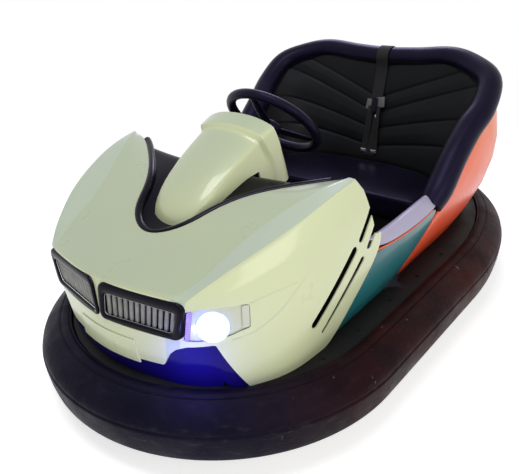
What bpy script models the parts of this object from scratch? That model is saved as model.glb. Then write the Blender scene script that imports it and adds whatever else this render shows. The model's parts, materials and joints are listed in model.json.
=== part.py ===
"""Two-seat electric bumper car, built at full size in metres, +Z up.

The nose points along -Y, the driver's left is +X, and z = 0 is the floor under the wheels.
The origin lies on the floor, under the middle of the rubber bumper.
"""

import math

import bmesh
import bpy
from mathutils import Matrix, Vector

# Rubber bumper in plan: a half circle in front, straight sides and half an ellipse behind
CAR_LENGTH = 2.02
CAR_WIDTH = 1.16
REAR_ELLIPSE = 0.834
TYRE_DEPTH = 0.100
TYRE_BOTTOM = 0.085
TYRE_CREASE = 0.190
TYRE_TOP = 0.246
ARC_STEPS = 18

# Steel rim that carries the tyre, and the floor pan that closes it below
SHEET = 0.006
RIM_BOTTOM = 0.092
FLANGE_TOP = 0.236
FLANGE_WIDTH = 0.105
FLOOR_TURN_IN = 0.040

# Clearances between pieces
FIT = 0.0003
SEAT_GAP = 0.0005

# Moulded body
SKIN = 0.006
LAMP_RADIUS = 0.040
LAMP_GAP = 0.0006

# Steering column
WHEEL_BEHIND_DRIVE = 0.437
WHEEL_HEIGHT = 0.711
COLUMN_TILT = math.radians(47)
RIM_RADIUS = 0.146
RIM_TUBE = 0.015
SHAFT_RADIUS = 0.011
TUBE_RADIUS = 0.019
BALL_RADIUS = 0.0135

# Drive unit under the bonnet
DRIVE_BEHIND_NOSE = 0.400
DRIVE_WHEEL_RADIUS = 0.100
DRIVE_WHEEL_WIDTH = 0.050
WELL_RADIUS = 0.165
STEM_RADIUS = 0.018
STEM_TOP = 0.285
BRIDGE_TOP = 0.240
BRIDGE_HALF = 0.205

# Rear wheels
REAR_INSIDE_TYRE = 0.195
REAR_BEFORE_TAIL = 0.510
REAR_WHEEL_RADIUS = 0.085
REAR_WHEEL_WIDTH = 0.045
AXLE_RADIUS = 0.008

# Seat
ROLL_RADIUS = 0.045
PAD = 0.030
CUSHION_TOP = 0.420
CUSHION_THICK = 0.085
SEAT_BEFORE_TAIL = 0.900
SEAT_DEPTH = 0.295
BATTERY_INSIDE_SEAT = 0.068
BATTERY_TOP = 0.300
SEAT_INSIDE_TYRE = 0.152

HALF_W = CAR_WIDTH / 2
FRONT_ARC_Y = HALF_W - CAR_LENGTH / 2
REAR_ARC_Y = CAR_LENGTH / 2 - REAR_ELLIPSE
HEM = FLANGE_TOP + SEAT_GAP
SEAT_FRONT = CAR_LENGTH / 2 - SEAT_BEFORE_TAIL
SEAT_HALF = HALF_W - TYRE_DEPTH - SEAT_INSIDE_TYRE
REAR_X = HALF_W - TYRE_DEPTH - REAR_INSIDE_TYRE
REAR_Y = CAR_LENGTH / 2 - REAR_BEFORE_TAIL
DRIVE_Y = DRIVE_BEHIND_NOSE - CAR_LENGTH / 2
WHEEL_CENTRE = Vector((0, DRIVE_Y + WHEEL_BEHIND_DRIVE, WHEEL_HEIGHT))
FOOT_PLATE_HALF = SEAT_HALF + 0.002
FOOT_PLATE_TOP = 0.1080
PAN_TOP = RIM_BOTTOM + 2 * SHEET + FIT
COLUMN_AXIS = Vector((0, math.sin(COLUMN_TILT), math.cos(COLUMN_TILT)))


# The body's sections were drawn for a car of this size. On a longer car the nose and the tail
# move apart, and the doorway between these stations takes up the change.
DRAWN_LENGTH = 2.02
DRAWN_WIDTH = 1.16
DOORWAY = (-0.340, 0.100)


def spot(x, y, z):
    """A drawn point of the body, moved to its place on a car of the present length and width."""
    front, back = DOORWAY
    share = min(max((y - front) / (back - front), 0), 1)
    return Vector((x * CAR_WIDTH / DRAWN_WIDTH, y + (CAR_LENGTH - DRAWN_LENGTH) * (share - 0.5), z))


def start():
    """Empties the scene and makes the two collections."""
    for old in list(bpy.data.objects):
        bpy.data.objects.remove(old, do_unlink=True)
    groups = []
    for name in ("bumper_car", "cutters"):
        group = bpy.data.collections.new(name)
        bpy.context.scene.collection.children.link(group)
        groups.append(group)
    return groups


PARTS, CUTTERS = start()

FINISHES = {  # colour, metallic, roughness
    "gloss_white": ((0.74, 0.77, 0.60), 0.0, 0.18),
    "gloss_black": ((0.012, 0.012, 0.016), 0.0, 0.12),
    "gloss_orange": ((0.90, 0.16, 0.05), 0.0, 0.20),
    "gloss_teal": ((0.02, 0.25, 0.30), 0.0, 0.20),
    "gloss_grey": ((0.50, 0.50, 0.60), 0.0, 0.20),
    "rubber": ((0.020, 0.018, 0.018), 0.0, 0.70),
    "vinyl": ((0.018, 0.017, 0.026), 0.0, 0.42),
    "steel": ((0.30, 0.30, 0.31), 0.9, 0.45),
    "black_steel": ((0.020, 0.020, 0.022), 0.3, 0.55),
    "lamp": ((0.90, 0.95, 1.00), 0.0, 0.05),
    "webbing": ((0.03, 0.03, 0.035), 0.0, 0.85),
    "slat": ((0.25, 0.25, 0.24), 0.2, 0.45),
    "lamp_red": ((0.45, 0.02, 0.02), 0.0, 0.10),
}


def finish(name):
    """A Principled material from the table above."""
    made = bpy.data.materials.get(name)
    if made is None:
        colour, metallic, roughness = FINISHES[name]
        made = bpy.data.materials.new(name)
        made.use_nodes = True
        shader = made.node_tree.nodes["Principled BSDF"]
        shader.inputs["Base Color"].default_value = (*colour, 1)
        shader.inputs["Metallic"].default_value = metallic
        shader.inputs["Roughness"].default_value = roughness
    return made


def add(name, mesh, material=None, group=PARTS):
    """Links a mesh as one named object."""
    obj = bpy.data.objects.new(name, mesh)
    group.objects.link(obj)
    if material:
        mesh.materials.append(finish(material))
    else:
        obj.hide_render = True
        obj.display_type = "WIRE"
    return obj


def mesh_from(name, build):
    """A mesh filled in by build(bm), with its faces turned outwards."""
    bm = bmesh.new()
    build(bm)
    bmesh.ops.recalc_face_normals(bm, faces=bm.faces)
    mesh = bpy.data.meshes.new(name)
    bm.to_mesh(mesh)
    bm.free()
    return mesh


def box(bm, low, high):
    """A box between two corners."""
    low, high = Vector(low), Vector(high)
    made = bmesh.ops.create_cube(bm, size=1)
    for v in made["verts"]:
        v.co = Vector(a * s for a, s in zip(v.co, high - low)) + (low + high) / 2
    return made["verts"]


def rod(bm, start_at, end_at, radius, sides=20, end_radius=None):
    """A round bar, or a cone, between two points."""
    start_at, end_at = Vector(start_at), Vector(end_at)
    along = end_at - start_at
    made = bmesh.ops.create_cone(
        bm,
        cap_ends=True,
        segments=sides,
        radius1=radius,
        radius2=radius if end_radius is None else end_radius,
        depth=along.length,
    )
    turn = along.to_track_quat("Z", "Y").to_matrix().to_4x4()
    bmesh.ops.transform(
        bm,
        matrix=Matrix.Translation((start_at + end_at) / 2) @ turn,
        verts=made["verts"],
    )
    return made["verts"]


def cut(obj, cutter, operation="DIFFERENCE"):
    """A Boolean with an object from the cutters' collection."""
    modifier = obj.modifiers.new("cut", "BOOLEAN")
    modifier.operation = operation
    modifier.object = cutter
    return modifier


def bevel(obj, width, segments=2, angle=30):
    """Rounds the edges that are sharper than the angle."""
    modifier = obj.modifiers.new("bevel", "BEVEL")
    modifier.width = width
    modifier.segments = segments
    modifier.limit_method = "ANGLE"
    modifier.angle_limit = math.radians(angle)
    modifier.harden_normals = False
    return modifier


def smooth(obj, angle=35):
    """Shades an object smooth up to the angle."""
    obj.data.shade_smooth()
    obj.data.set_sharp_from_angle(angle=math.radians(angle))
    return obj


def facing(bm, inside):
    """Turns an open sheet's faces so that, on the whole, they look away from a point inside."""
    bm.normal_update()
    inside = Vector(inside)
    away = sum(f.calc_area() * f.normal.dot(f.calc_center_median() - inside) for f in bm.faces)
    if away < 0:
        bmesh.ops.reverse_faces(bm, faces=bm.faces)
    bm.normal_update()


def shell(
    name, rows, material, inside, thickness=SKIN, levels=1, mirrored=True, sink=0.0, creases=(), folds=()
):
    """A moulded skin: a cage of rows of points, rounded by subdivision and given its thickness.

    The skin lies on the side of the cage where the point inside is; sink first moves the cage that way.
    creases lists (column, weight) pairs, and folds (row, weight) pairs, of lines that keep a moulded edge.
    """
    bm = bmesh.new()
    grid = [[bm.verts.new(spot(*p)) for p in row] for row in rows]
    for upper, lower in zip(grid, grid[1:]):
        for c in range(len(upper) - 1):
            bm.faces.new((upper[c], upper[c + 1], lower[c + 1], lower[c]))
    sharp = bm.edges.layers.float.new("crease_edge")
    for column, weight in creases:
        for upper, lower in zip(grid, grid[1:]):
            bm.edges.get((upper[column], lower[column]))[sharp] = weight
    for row, weight in folds:
        for left, right in zip(grid[row], grid[row][1:4]):
            bm.edges.get((left, right))[sharp] = weight
    facing(bm, inside)
    if sink:
        for v in bm.verts:
            step = v.normal * sink
            v.co -= Vector((0 if mirrored and abs(v.co.x) < 1e-6 else step.x, step.y, step.z))
    mesh = bpy.data.meshes.new(name)
    bm.to_mesh(mesh)
    bm.free()
    obj = add(name, mesh, material, PARTS if material else CUTTERS)
    if mirrored:
        mirror = obj.modifiers.new("mirror", "MIRROR")
        mirror.merge_threshold = 0.0001
    rounding = obj.modifiers.new("rounding", "SUBSURF")
    rounding.levels = levels
    rounding.render_levels = levels
    wall = obj.modifiers.new("wall", "SOLIDIFY")
    wall.thickness = thickness
    wall.offset = -1
    wall.use_even_offset = True
    return smooth(obj)


def sided(name, rows, material, inside, **options):
    """A pair of shells, one on each flank."""
    made = []
    for suffix, side in (("l", 1), ("r", -1)):
        flipped = [[(side * x, y, z) for x, y, z in row] for row in rows]
        point = (side * inside[0], inside[1], inside[2])
        made.append(shell(f"{name}_{suffix}", flipped, material, point, mirrored=False, **options))
    return made


def plan(inset, steps=ARC_STEPS):
    """The bumper's outline in plan, moved inwards, anticlockwise from above from the left side."""
    points = []
    for i in range(steps + 1):
        angle = math.pi * i / steps
        normal = Vector((math.cos(angle) / HALF_W, math.sin(angle) / REAR_ELLIPSE)).normalized()
        points.append(
            (
                HALF_W * math.cos(angle) - inset * normal.x,
                REAR_ARC_Y + REAR_ELLIPSE * math.sin(angle) - inset * normal.y,
            )
        )
    for i in range(steps + 1):
        angle = math.pi + math.pi * i / steps
        radius = HALF_W - inset
        points.append((radius * math.cos(angle), FRONT_ARC_Y + radius * math.sin(angle)))
    return points


def ring(name, profile, material):
    """Sweeps a closed profile, given as (outward from the tyre's seat, z) pairs, round the plan."""
    corners = len(profile)

    def build(bm):
        paths = [plan(TYRE_DEPTH - outward) for outward, z in profile]
        loops = []
        for station in range(len(paths[0])):
            loops.append([bm.verts.new((*paths[i][station], profile[i][1])) for i in range(corners)])
        for here, there in zip(loops, loops[1:] + loops[:1]):
            for i in range(corners):
                j = (i + 1) % corners
                bm.faces.new((here[i], here[j], there[j], there[i]))

    return smooth(add(name, mesh_from(name, build), material), 30)


def flat(name, outlines, z_low, z_high, material):
    """A plate from closed plan outlines, the first outside and the rest holes."""
    curve = bpy.data.curves.new(name, "CURVE")
    curve.dimensions = "2D"
    curve.fill_mode = "BOTH"
    curve.extrude = (z_high - z_low) / 2
    for outline in outlines:
        spline = curve.splines.new("POLY")
        spline.points.add(len(outline) - 1)
        for point, (x, y) in zip(spline.points, outline):
            point.co = (x, y, 0, 1)
        spline.use_cyclic_u = True
    obj = bpy.data.objects.new(name, curve)
    PARTS.objects.link(obj)
    obj.location.z = (z_low + z_high) / 2
    curve.materials.append(finish(material))
    return obj


def circle(radius, x=0.0, y=0.0, steps=32):
    """A round outline in plan."""
    turn = 2 * math.pi / steps
    return [(x + radius * math.cos(turn * i), y + radius * math.sin(turn * i)) for i in range(steps)]


def rectangle(half_x, half_y, x=0.0, y=0.0):
    """A rectangular outline in plan."""
    return [(x + a * half_x, y + b * half_y) for a, b in ((-1, -1), (1, -1), (1, 1), (-1, 1))]


def rounded_path(points, per_span=4):
    """A smooth curve through the points, as Catmull-Rom spans."""
    points = [Vector(p) for p in points]
    ends = [2 * points[0] - points[1]] + points + [2 * points[-1] - points[-2]]
    out = []
    for a, b, c, d in zip(ends, ends[1:], ends[2:], ends[3:]):
        for i in range(per_span):
            t = i / per_span
            out.append(
                0.5
                * (
                    2 * b
                    + (c - a) * t
                    + (2 * a - 5 * b + 4 * c - d) * t * t
                    + (3 * b - a - 3 * c + d) * t * t * t
                )
            )
    out.append(points[-1])
    return out


# Chassis


def bumper():
    """The rubber tyre round the whole car, and the steel rim that it is stretched over."""
    depth = TYRE_DEPTH
    ring(
        "bumper_tyre",
        [
            (0.000, RIM_BOTTOM),
            (depth * 0.79, TYRE_BOTTOM),
            (depth * 0.90, TYRE_BOTTOM + 0.014),
            (depth * 0.97, TYRE_BOTTOM + 0.050),
            (depth, TYRE_CREASE - 0.020),
            (depth * 0.94, TYRE_CREASE),
            (depth * 0.72, TYRE_TOP - 0.030),
            (depth * 0.45, TYRE_TOP - 0.009),
            (depth * 0.18, TYRE_TOP),
            (0.000, TYRE_TOP - 0.008),
        ],
        "rubber",
    )
    ring(
        "tyre_rim",
        [
            (-FIT, RIM_BOTTOM),
            (-FIT, FLANGE_TOP),
            (-FLANGE_WIDTH, FLANGE_TOP),
            (-FLANGE_WIDTH, FLANGE_TOP - SHEET),
            (-FIT - SHEET, FLANGE_TOP - SHEET),
            (-FIT - SHEET, RIM_BOTTOM + SHEET),
            (-FLOOR_TURN_IN, RIM_BOTTOM + SHEET),
            (-FLOOR_TURN_IN, RIM_BOTTOM),
        ],
        "black_steel",
    )


def floor_pan():
    """The steel floor, open where the drive unit and the rear wheels come through."""
    outlines = [plan(TYRE_DEPTH + SHEET + 2 * FIT), circle(WELL_RADIUS, y=DRIVE_Y)]
    for side in (1, -1):
        outlines.append(
            rectangle(REAR_WHEEL_WIDTH / 2 + 0.020, REAR_WHEEL_RADIUS + 0.015, side * REAR_X, REAR_Y)
        )
    flat("chassis_pan", outlines, RIM_BOTTOM + SHEET + FIT, PAN_TOP, "black_steel")


# Bonnet: sections from the cockpit edge forward, then down the front face.
# Each row: inner edge, mid top, crest inner, crest outer, shoulder, belly, flank, hem.
HOOD_SECTIONS = (
    ((0.362, -0.390, 0.660), (0.388, -0.391, 0.668), (0.408, -0.390, 0.677), (0.422, -0.386, 0.674),
     (0.452, -0.340, 0.600), (0.462, -0.280, 0.482), (0.440, -0.372, 0.365), (0.417, -0.485, HEM)),
    ((0.285, -0.448, 0.649), (0.332, -0.453, 0.656), (0.382, -0.452, 0.668), (0.418, -0.455, 0.665),
     (0.447, -0.430, 0.597), (0.456, -0.380, 0.475), (0.438, -0.445, 0.358), (0.416, -0.525, HEM)),
    ((0.196, -0.522, 0.633), (0.265, -0.525, 0.636), (0.342, -0.522, 0.642), (0.409, -0.525, 0.646),
     (0.438, -0.515, 0.587), (0.450, -0.470, 0.463), (0.435, -0.505, 0.350), (0.414, -0.565, HEM)),
    ((0.136, -0.600, 0.606), (0.212, -0.602, 0.605), (0.304, -0.602, 0.606), (0.390, -0.602, 0.620),
     (0.420, -0.602, 0.570), (0.440, -0.560, 0.452), (0.430, -0.570, 0.345), (0.411, -0.605, HEM)),
    ((0.104, -0.680, 0.574), (0.178, -0.678, 0.572), (0.278, -0.676, 0.571), (0.362, -0.680, 0.592),
     (0.394, -0.682, 0.546), (0.420, -0.642, 0.440), (0.418, -0.632, 0.340), (0.404, -0.645, HEM)),
    ((0.000, -0.742, 0.542), (0.150, -0.742, 0.545), (0.270, -0.738, 0.545), (0.328, -0.744, 0.561),
     (0.357, -0.748, 0.521), (0.388, -0.712, 0.425), (0.394, -0.692, 0.335), (0.390, -0.686, HEM)),
    ((0.000, -0.830, 0.522), (0.140, -0.822, 0.520), (0.262, -0.796, 0.518), (0.292, -0.803, 0.526),
     (0.316, -0.803, 0.501), (0.348, -0.768, 0.412), (0.362, -0.746, 0.330), (0.368, -0.727, HEM)),
    ((0.000, -0.899, 0.499), (0.120, -0.884, 0.500), (0.228, -0.858, 0.498), (0.262, -0.846, 0.494),
     (0.280, -0.834, 0.474), (0.316, -0.806, 0.398), (0.334, -0.786, 0.325), (0.344, -0.766, HEM)),
    ((0.000, -0.904, 0.385), (0.110, -0.889, 0.385), (0.200, -0.867, 0.384), (0.234, -0.854, 0.380),
     (0.262, -0.842, 0.370), (0.290, -0.824, 0.345), (0.312, -0.805, 0.300), (0.326, -0.784, HEM)),
    ((0.000, -0.900, 0.290), (0.105, -0.887, 0.290), (0.190, -0.864, 0.290), (0.222, -0.852, 0.288),
     (0.246, -0.840, 0.284), (0.268, -0.826, 0.276), (0.288, -0.811, 0.268), (0.306, -0.797, 0.258)),
    ((0.000, -0.890, HEM), (0.105, -0.878, HEM), (0.190, -0.856, HEM), (0.222, -0.845, HEM),
     (0.246, -0.833, HEM), (0.268, -0.820, HEM), (0.290, -0.804, HEM), (0.310, -0.788, HEM)),
)
CREST_IN, CREST_OUT, SHOULDER = 2, 3, 4
NOSE_EDGE = 7
HOOD_CREASES = ((CREST_IN, 0.65), (CREST_OUT, 0.8), (SHOULDER, 0.35))
HOOD_FOLDS = ((NOSE_EDGE, 0.9),)

# Side vents: each slot's front lower end and rear upper end as (y, z), and its width
VENTS = (
    ((-0.574, 0.350), (-0.428, 0.498), 0.012),
    ((-0.536, 0.306), (-0.390, 0.458), 0.008),
    ((-0.399, 0.520), (-0.340, 0.602), 0.009),
    ((-0.359, 0.482), (-0.290, 0.599), 0.009),
)


def vent_cutter():
    """Slots through both flanks, the upper two open at the rear edge."""

    def build(bm):
        for low, high, width in VENTS:
            low, high = spot(0, *low), spot(0, *high)
            along = high - low
            verts = box(bm, (-CAR_WIDTH / 2, 0, -width / 2), (CAR_WIDTH / 2, along.length, width / 2))
            turn = Matrix.Rotation(math.atan2(along.z, along.y), 4, "X")
            bmesh.ops.transform(bm, matrix=Matrix.Translation(low) @ turn, verts=verts)

    return add("vent_cutter", mesh_from("vent_cutter", build), group=CUTTERS)


# Openings seen from the front, as (x, z) outlines on the +X side
# Cutters through the front run from before the nose back to behind what they cut
NOSE_Y = -1.0
GRILLE_BACK_Y = -0.80
POCKET_BACK_Y = -0.60
GRILLE_CORNERS = ((0.0180, 0.4940), (0.2530, 0.4860), (0.2330, 0.3820), (0.0190, 0.3860))
INTAKE_OUTLINE = (
    (0.000, 0.286), (0.184, 0.288), (0.193, 0.314), (0.203, 0.336), (0.222, 0.354),
    (0.250, 0.366), (0.309, 0.375), (0.352, 0.243), (0.366, 0.200),
)
# How far the insert's outline lies outside the opening, corner by corner
INTAKE_GROWTH = (
    (0.000, 0.010), (0.008, 0.012), (-0.008, 0.004), (-0.008, 0.002), (-0.006, 0.001),
    (0.000, 0.003), (0.006, 0.008), (0.014, 0.004), (0.014, 0.000),
)


# The same opening's window inside the bezel, which is broad on top
GRILLE_WINDOW = ((0.0370, 0.4680), (0.2320, 0.4600), (0.2160, 0.3960), (0.0360, 0.3990))
GRILLE_ROUND = 0.016


def grille_outline(share, inset=0.0):
    """A loop between the grille's opening, share 0, and its window, share 1, with round corners, as (x, z)."""
    middle = Vector(map(sum, zip(*GRILLE_CORNERS))) / 4
    corners = []
    for outer, inner in zip(GRILLE_CORNERS, GRILLE_WINDOW):
        x, z = Vector(outer).lerp(Vector(inner), share)
        corners.append(Vector((x - math.copysign(inset, x - middle.x), z - math.copysign(inset, z - middle.y))))
    reach = GRILLE_ROUND * (1 - 0.6 * share)
    outline = []
    for i, here in enumerate(corners):
        before = here + (corners[i - 1] - here).normalized() * reach
        after = here + (corners[(i + 1) % 4] - here).normalized() * reach
        outline += [tuple(before), tuple(here * 0.56 + (before + after) * 0.22), tuple(after)]
    return outline


def across(outline):
    """A half outline that starts on the middle line, completed with its mirror image."""
    first = 1 if outline[0][0] == 0 else 0
    return list(outline) + [(-x, z) for x, z in reversed(outline[first:])]


def front_prism(name, outline, y_front, y_back, hands=(1, -1)):
    """A prism along Y from an (x, z) outline of the drawn body, on one side or on both."""

    def build(bm):
        for side in hands:
            front = [bm.verts.new(spot(side * x, y_front, z)) for x, z in outline]
            face = bm.faces.new(front)
            grown = bmesh.ops.extrude_face_region(bm, geom=[face])
            moved = [v for v in grown["geom"] if isinstance(v, bmesh.types.BMVert)]
            bmesh.ops.translate(bm, vec=(0, y_back - y_front, 0), verts=moved)

    return add(name, mesh_from(name, build), group=CUTTERS)


LAMP_PLACE = spot(0.303, -0.806, 0.424)
LAMP_AIM = Vector((0.62, -0.76, 0.18)).normalized()


def mirrored_x(v):
    return Vector((-v.x, v.y, v.z))


# The headlamp's pocket beside the grille, seen from the front, as (x, z)
LAMP_POCKET = ((0.2625, 0.4660), (0.2900, 0.4745), (0.3630, 0.4750), (0.3640, 0.4110), (0.3500, 0.4060),
               (0.3330, 0.3960), (0.3040, 0.3885), (0.2700, 0.3835), (0.2490, 0.3835))
POCKET_DEPTH = 0.0040
TRAY = 0.0060


def lamp_cutter():
    """Round holes for the two headlamps."""

    def build(bm):
        for place, aim in ((LAMP_PLACE, LAMP_AIM), (mirrored_x(LAMP_PLACE), mirrored_x(LAMP_AIM))):
            rod(bm, place - aim * 0.06, place + aim * 0.06, LAMP_RADIUS + LAMP_GAP, 24)

    return add("lamp_cutter", mesh_from("lamp_cutter", build), group=CUTTERS)


def foot_plate():
    """Flat tread plate on the floor in front of the seat, where the driver's feet rest."""
    x, y0, y1 = FOOT_PLATE_HALF, PEDAL_FOOT.y + 0.040, SEAT_FRONT - 0.025
    corner = min(0.020, (y1 - y0) / 4)
    outline = [(-x + corner, y0), (x - corner, y0), (x, y0 + corner), (x, y1 - corner), (x - corner, y1),
               (-x + corner, y1), (-x, y1 - corner), (-x, y0 + corner)]
    flat("foot_plate", [outline], PAN_TOP + FIT, FOOT_PLATE_TOP, "steel")


def bonnet():
    """The white one-piece bonnet with its crests, vents and front openings."""
    hood = shell(
        "hood_shell",
        HOOD_SECTIONS,
        "gloss_white",
        (0, -0.5, 0.3),
        creases=HOOD_CREASES,
        folds=HOOD_FOLDS,
    )
    cut(hood, vent_cutter())
    cut(hood, front_prism("grille_cutter", grille_outline(0), NOSE_Y, GRILLE_BACK_Y))
    cut(hood, front_prism("intake_cutter", across(INTAKE_OUTLINE), NOSE_Y, POCKET_BACK_Y, (1,)))
    cut(hood, lamp_cutter())
    cut(hood, front_prism("pocket_cutter", LAMP_POCKET, NOSE_Y, POCKET_BACK_Y))
    rear_edge = tuple((x, y + 0.002, z) for x, y, z in HOOD_SECTIONS[0])
    rows = (rear_edge,) + HOOD_SECTIONS[1:]
    shell("bonnet_seam", rows, None, (0, -0.5, 0.3), thickness=0.032, sink=-0.0006, creases=HOOD_CREASES)


def intake_panel():
    """Black insert behind the opening under the lamps and the chin."""
    grown = [(x + dx, z + dz) for (x, z), (dx, dz) in zip(INTAKE_OUTLINE, INTAKE_GROWTH)]
    panel = shell(
        "intake_panel",
        HOOD_SECTIONS[3:],
        "gloss_black",
        (0, -0.5, 0.3),
        thickness=0.004,
        sink=SKIN + 0.0014,
    )
    keep = front_prism("insert_cutter", across(grown), NOSE_Y, POCKET_BACK_Y, (1,))

    def relief(bm):
        for place, aim in ((LAMP_PLACE, LAMP_AIM), (mirrored_x(LAMP_PLACE), mirrored_x(LAMP_AIM))):
            rod(bm, place - aim * 0.07, place + aim * 0.05, LAMP_RADIUS + 0.0012, 20)

    cut(keep, add("lamp_relief", mesh_from("lamp_relief", relief), group=CUTTERS))
    cut(panel, keep, "INTERSECT")


# Twin grilles: broad bezels just inside the bonnet's openings, and an insert with upright bars behind
BEZEL_FIT = 0.0004
# Bezel section: share of the way from the opening to the window, and depth behind the grille's plane
BEZEL_SECTION = (
    (0.00, 0.0070), (0.00, -0.0040), (0.18, -0.0075), (0.82, -0.0070), (1.00, -0.0020), (1.00, 0.0070),
)
SLATS = 12
SLAT_DEPTH = 0.008
SLAT_BACK = 0.013


def grille_y(x):
    """Depth of the grille's front plane at a distance from the middle."""
    return -0.8975 + 0.187 * abs(x)


def grilles():
    """Two bezels, and one insert with upright bars behind both."""

    def bezel(bm, side):
        rings = []
        for share, depth in BEZEL_SECTION:
            loop = grille_outline(share, BEZEL_FIT)
            rings.append([bm.verts.new(spot(side * x, grille_y(x) + depth, z)) for x, z in loop])
        for here, there in zip(rings, rings[1:] + rings[:1]):
            for i in range(len(here)):
                j = (i + 1) % len(here)
                bm.faces.new((here[i], here[j], there[j], there[i]))

    for suffix, side in (("l", 1), ("r", -1)):
        name = f"grille_frame_{suffix}"
        smooth(add(name, mesh_from(name, lambda bm: bezel(bm, side)), "gloss_black"), 40)
    x_low, x_high = 0.030, 0.240
    pitch = (x_high - x_low) / SLATS
    section = []
    for i in range(SLATS):
        left = x_low + pitch * (i + 0.22)
        right = x_low + pitch * (i + 0.78)
        section += [(left, grille_y(left) + SLAT_DEPTH), (left, grille_y(left))]
        section += [(right, grille_y(right)), (right, grille_y(right) + SLAT_DEPTH)]
    for x, deep in ((x_high, SLAT_DEPTH), (x_high, SLAT_BACK), (x_low, SLAT_BACK), (x_low, SLAT_DEPTH)):
        section.append((x, grille_y(x) + deep))

    def bars(bm):
        for side in (1, -1):
            low = [bm.verts.new(spot(side * x, y, 0.38)) for x, y in section]
            high = [bm.verts.new(spot(side * x, y, 0.50)) for x, y in section]
            bm.faces.new(low)
            bm.faces.new(high)
            for i in range(len(section)):
                j = (i + 1) % len(section)
                bm.faces.new((low[i], low[j], high[j], high[i]))

    slats = add("grille_slats", mesh_from("grille_slats", bars), "slat")
    opening = grille_outline(1.0, BEZEL_FIT + SEAT_GAP)
    cut(slats, front_prism("slat_cutter", opening, NOSE_Y, GRILLE_BACK_Y), "INTERSECT")
    back = grille_y(0.045) + SLAT_BACK

    def strap(bm):
        box(bm, spot(-0.050, back - 0.003, 0.425), spot(0.050, back + 0.001, 0.455))

    cut(slats, add("slat_strap", mesh_from("slat_strap", strap), group=CUTTERS), "UNION")


def lamp_tray(suffix, side, pose):
    """The sunk surround that fills the pocket round a lamp."""
    first = 4
    tray = shell(f"lamp_tray_{suffix}", HOOD_SECTIONS[first:9], None, (0, -0.5, 0.3), thickness=TRAY,
                 sink=POCKET_DEPTH, creases=HOOD_CREASES, folds=((NOSE_EDGE - first, 0.9),))
    middle = Vector(map(sum, zip(*LAMP_POCKET))) / len(LAMP_POCKET)
    inside = []
    for x, z in LAMP_POCKET:
        away = (Vector((x, z)) - middle).normalized() * 2 * LAMP_GAP
        inside.append((x - away.x, z - away.y))
    cut(tray, front_prism(f"tray_cutter_{suffix}", inside, NOSE_Y, POCKET_BACK_Y, (side,)), "INTERSECT")
    hole = f"tray_hole_{suffix}"
    round_hole = mesh_from(hole, lambda bm: rod(bm, pose @ Vector((0, 0, -0.06)), pose @ Vector((0, 0, 0.06)),
                                                LAMP_RADIUS - 0.003, 20))
    cut(tray, add(hole, round_hole, group=CUTTERS))
    return tray


def headlamps():
    """Round lamp bowls with domed lenses, set in the bonnet's holes."""
    bowl = (
        (0.000, -0.050), (0.030, -0.050), (LAMP_RADIUS, -0.020), (LAMP_RADIUS, 0.004),
        (LAMP_RADIUS - 0.006, 0.004), (LAMP_RADIUS - 0.006, -0.004), (0.020, -0.036), (0.000, -0.036),
    )
    radius = LAMP_RADIUS - 0.006 - FIT
    lens = ((0.000, 0.006), (0.018, 0.0045), (radius * 0.85, 0.000), (radius, -0.0035), (0.000, -0.0035))
    for suffix, side in (("l", 1), ("r", -1)):
        place = Vector((side * LAMP_PLACE.x, LAMP_PLACE.y, LAMP_PLACE.z))
        aim = Vector((side * LAMP_AIM.x, LAMP_AIM.y, LAMP_AIM.z))
        pose = Matrix.Translation(place) @ aim.to_track_quat("Z", "Y").to_matrix().to_4x4()
        for part, profile, material in (("bowl", bowl, "gloss_black"), ("lens", lens, "lamp")):
            name = f"headlamp_{part}_{suffix}"
            smooth(add(name, mesh_from(name, lambda bm: revolve(bm, profile, pose, 20)), material))
        cut(bpy.data.objects[f"headlamp_bowl_{suffix}"], lamp_tray(suffix, side, pose), "UNION")


def revolve(bm, profile, place, steps):
    """Turns a profile of (radius, height) pairs about Z, then moves it to its place."""
    rings = []
    for radius, height in profile:
        if radius == 0:
            rings.append([bm.verts.new(place @ Vector((0, 0, height)))])
            continue
        turn = 2 * math.pi / steps
        rings.append(
            [
                bm.verts.new(place @ Vector((radius * math.cos(turn * i), radius * math.sin(turn * i), height)))
                for i in range(steps)
            ]
        )
    closed = list(zip(rings, rings[1:]))
    if len(rings[0]) > 1:
        closed.append((rings[-1], rings[0]))
    for here, there in closed:
        for i in range(steps):
            j = (i + 1) % steps
            face = [here[i % len(here)], here[j % len(here)], there[j % len(there)], there[i % len(there)]]
            corners = list(dict.fromkeys(face))
            if len(corners) > 2:
                bm.faces.new(corners)


# Dash: a black bowl under the bonnet's inner edge. Columns: middle, flank of the bowl, rim.
DASH_SECTIONS = (
    ((0.000, -0.395, 0.630), (0.130, -0.395, 0.637), (0.270, -0.396, 0.641), (0.352, -0.396, 0.640)),
    ((0.000, -0.448, 0.628), (0.120, -0.448, 0.634), (0.220, -0.448, 0.638), (0.283, -0.448, 0.6375)),
    ((0.000, -0.522, 0.594), (0.100, -0.522, 0.602), (0.155, -0.522, 0.612), (0.194, -0.522, 0.6215)),
    ((0.000, -0.600, 0.555), (0.080, -0.600, 0.563), (0.112, -0.600, 0.578), (0.134, -0.600, 0.5945)),
    ((0.000, -0.680, 0.527), (0.060, -0.680, 0.534), (0.085, -0.680, 0.549), (0.102, -0.680, 0.5625)),
    ((0.000, -0.730, 0.522), (0.030, -0.730, 0.523), (0.060, -0.730, 0.527), (0.085, -0.725, 0.5330)),
)
DASH_LIP = ((0.000, -0.389, 0.500), (0.130, -0.389, 0.520), (0.270, -0.390, 0.540), (0.350, -0.390, 0.560))


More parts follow.
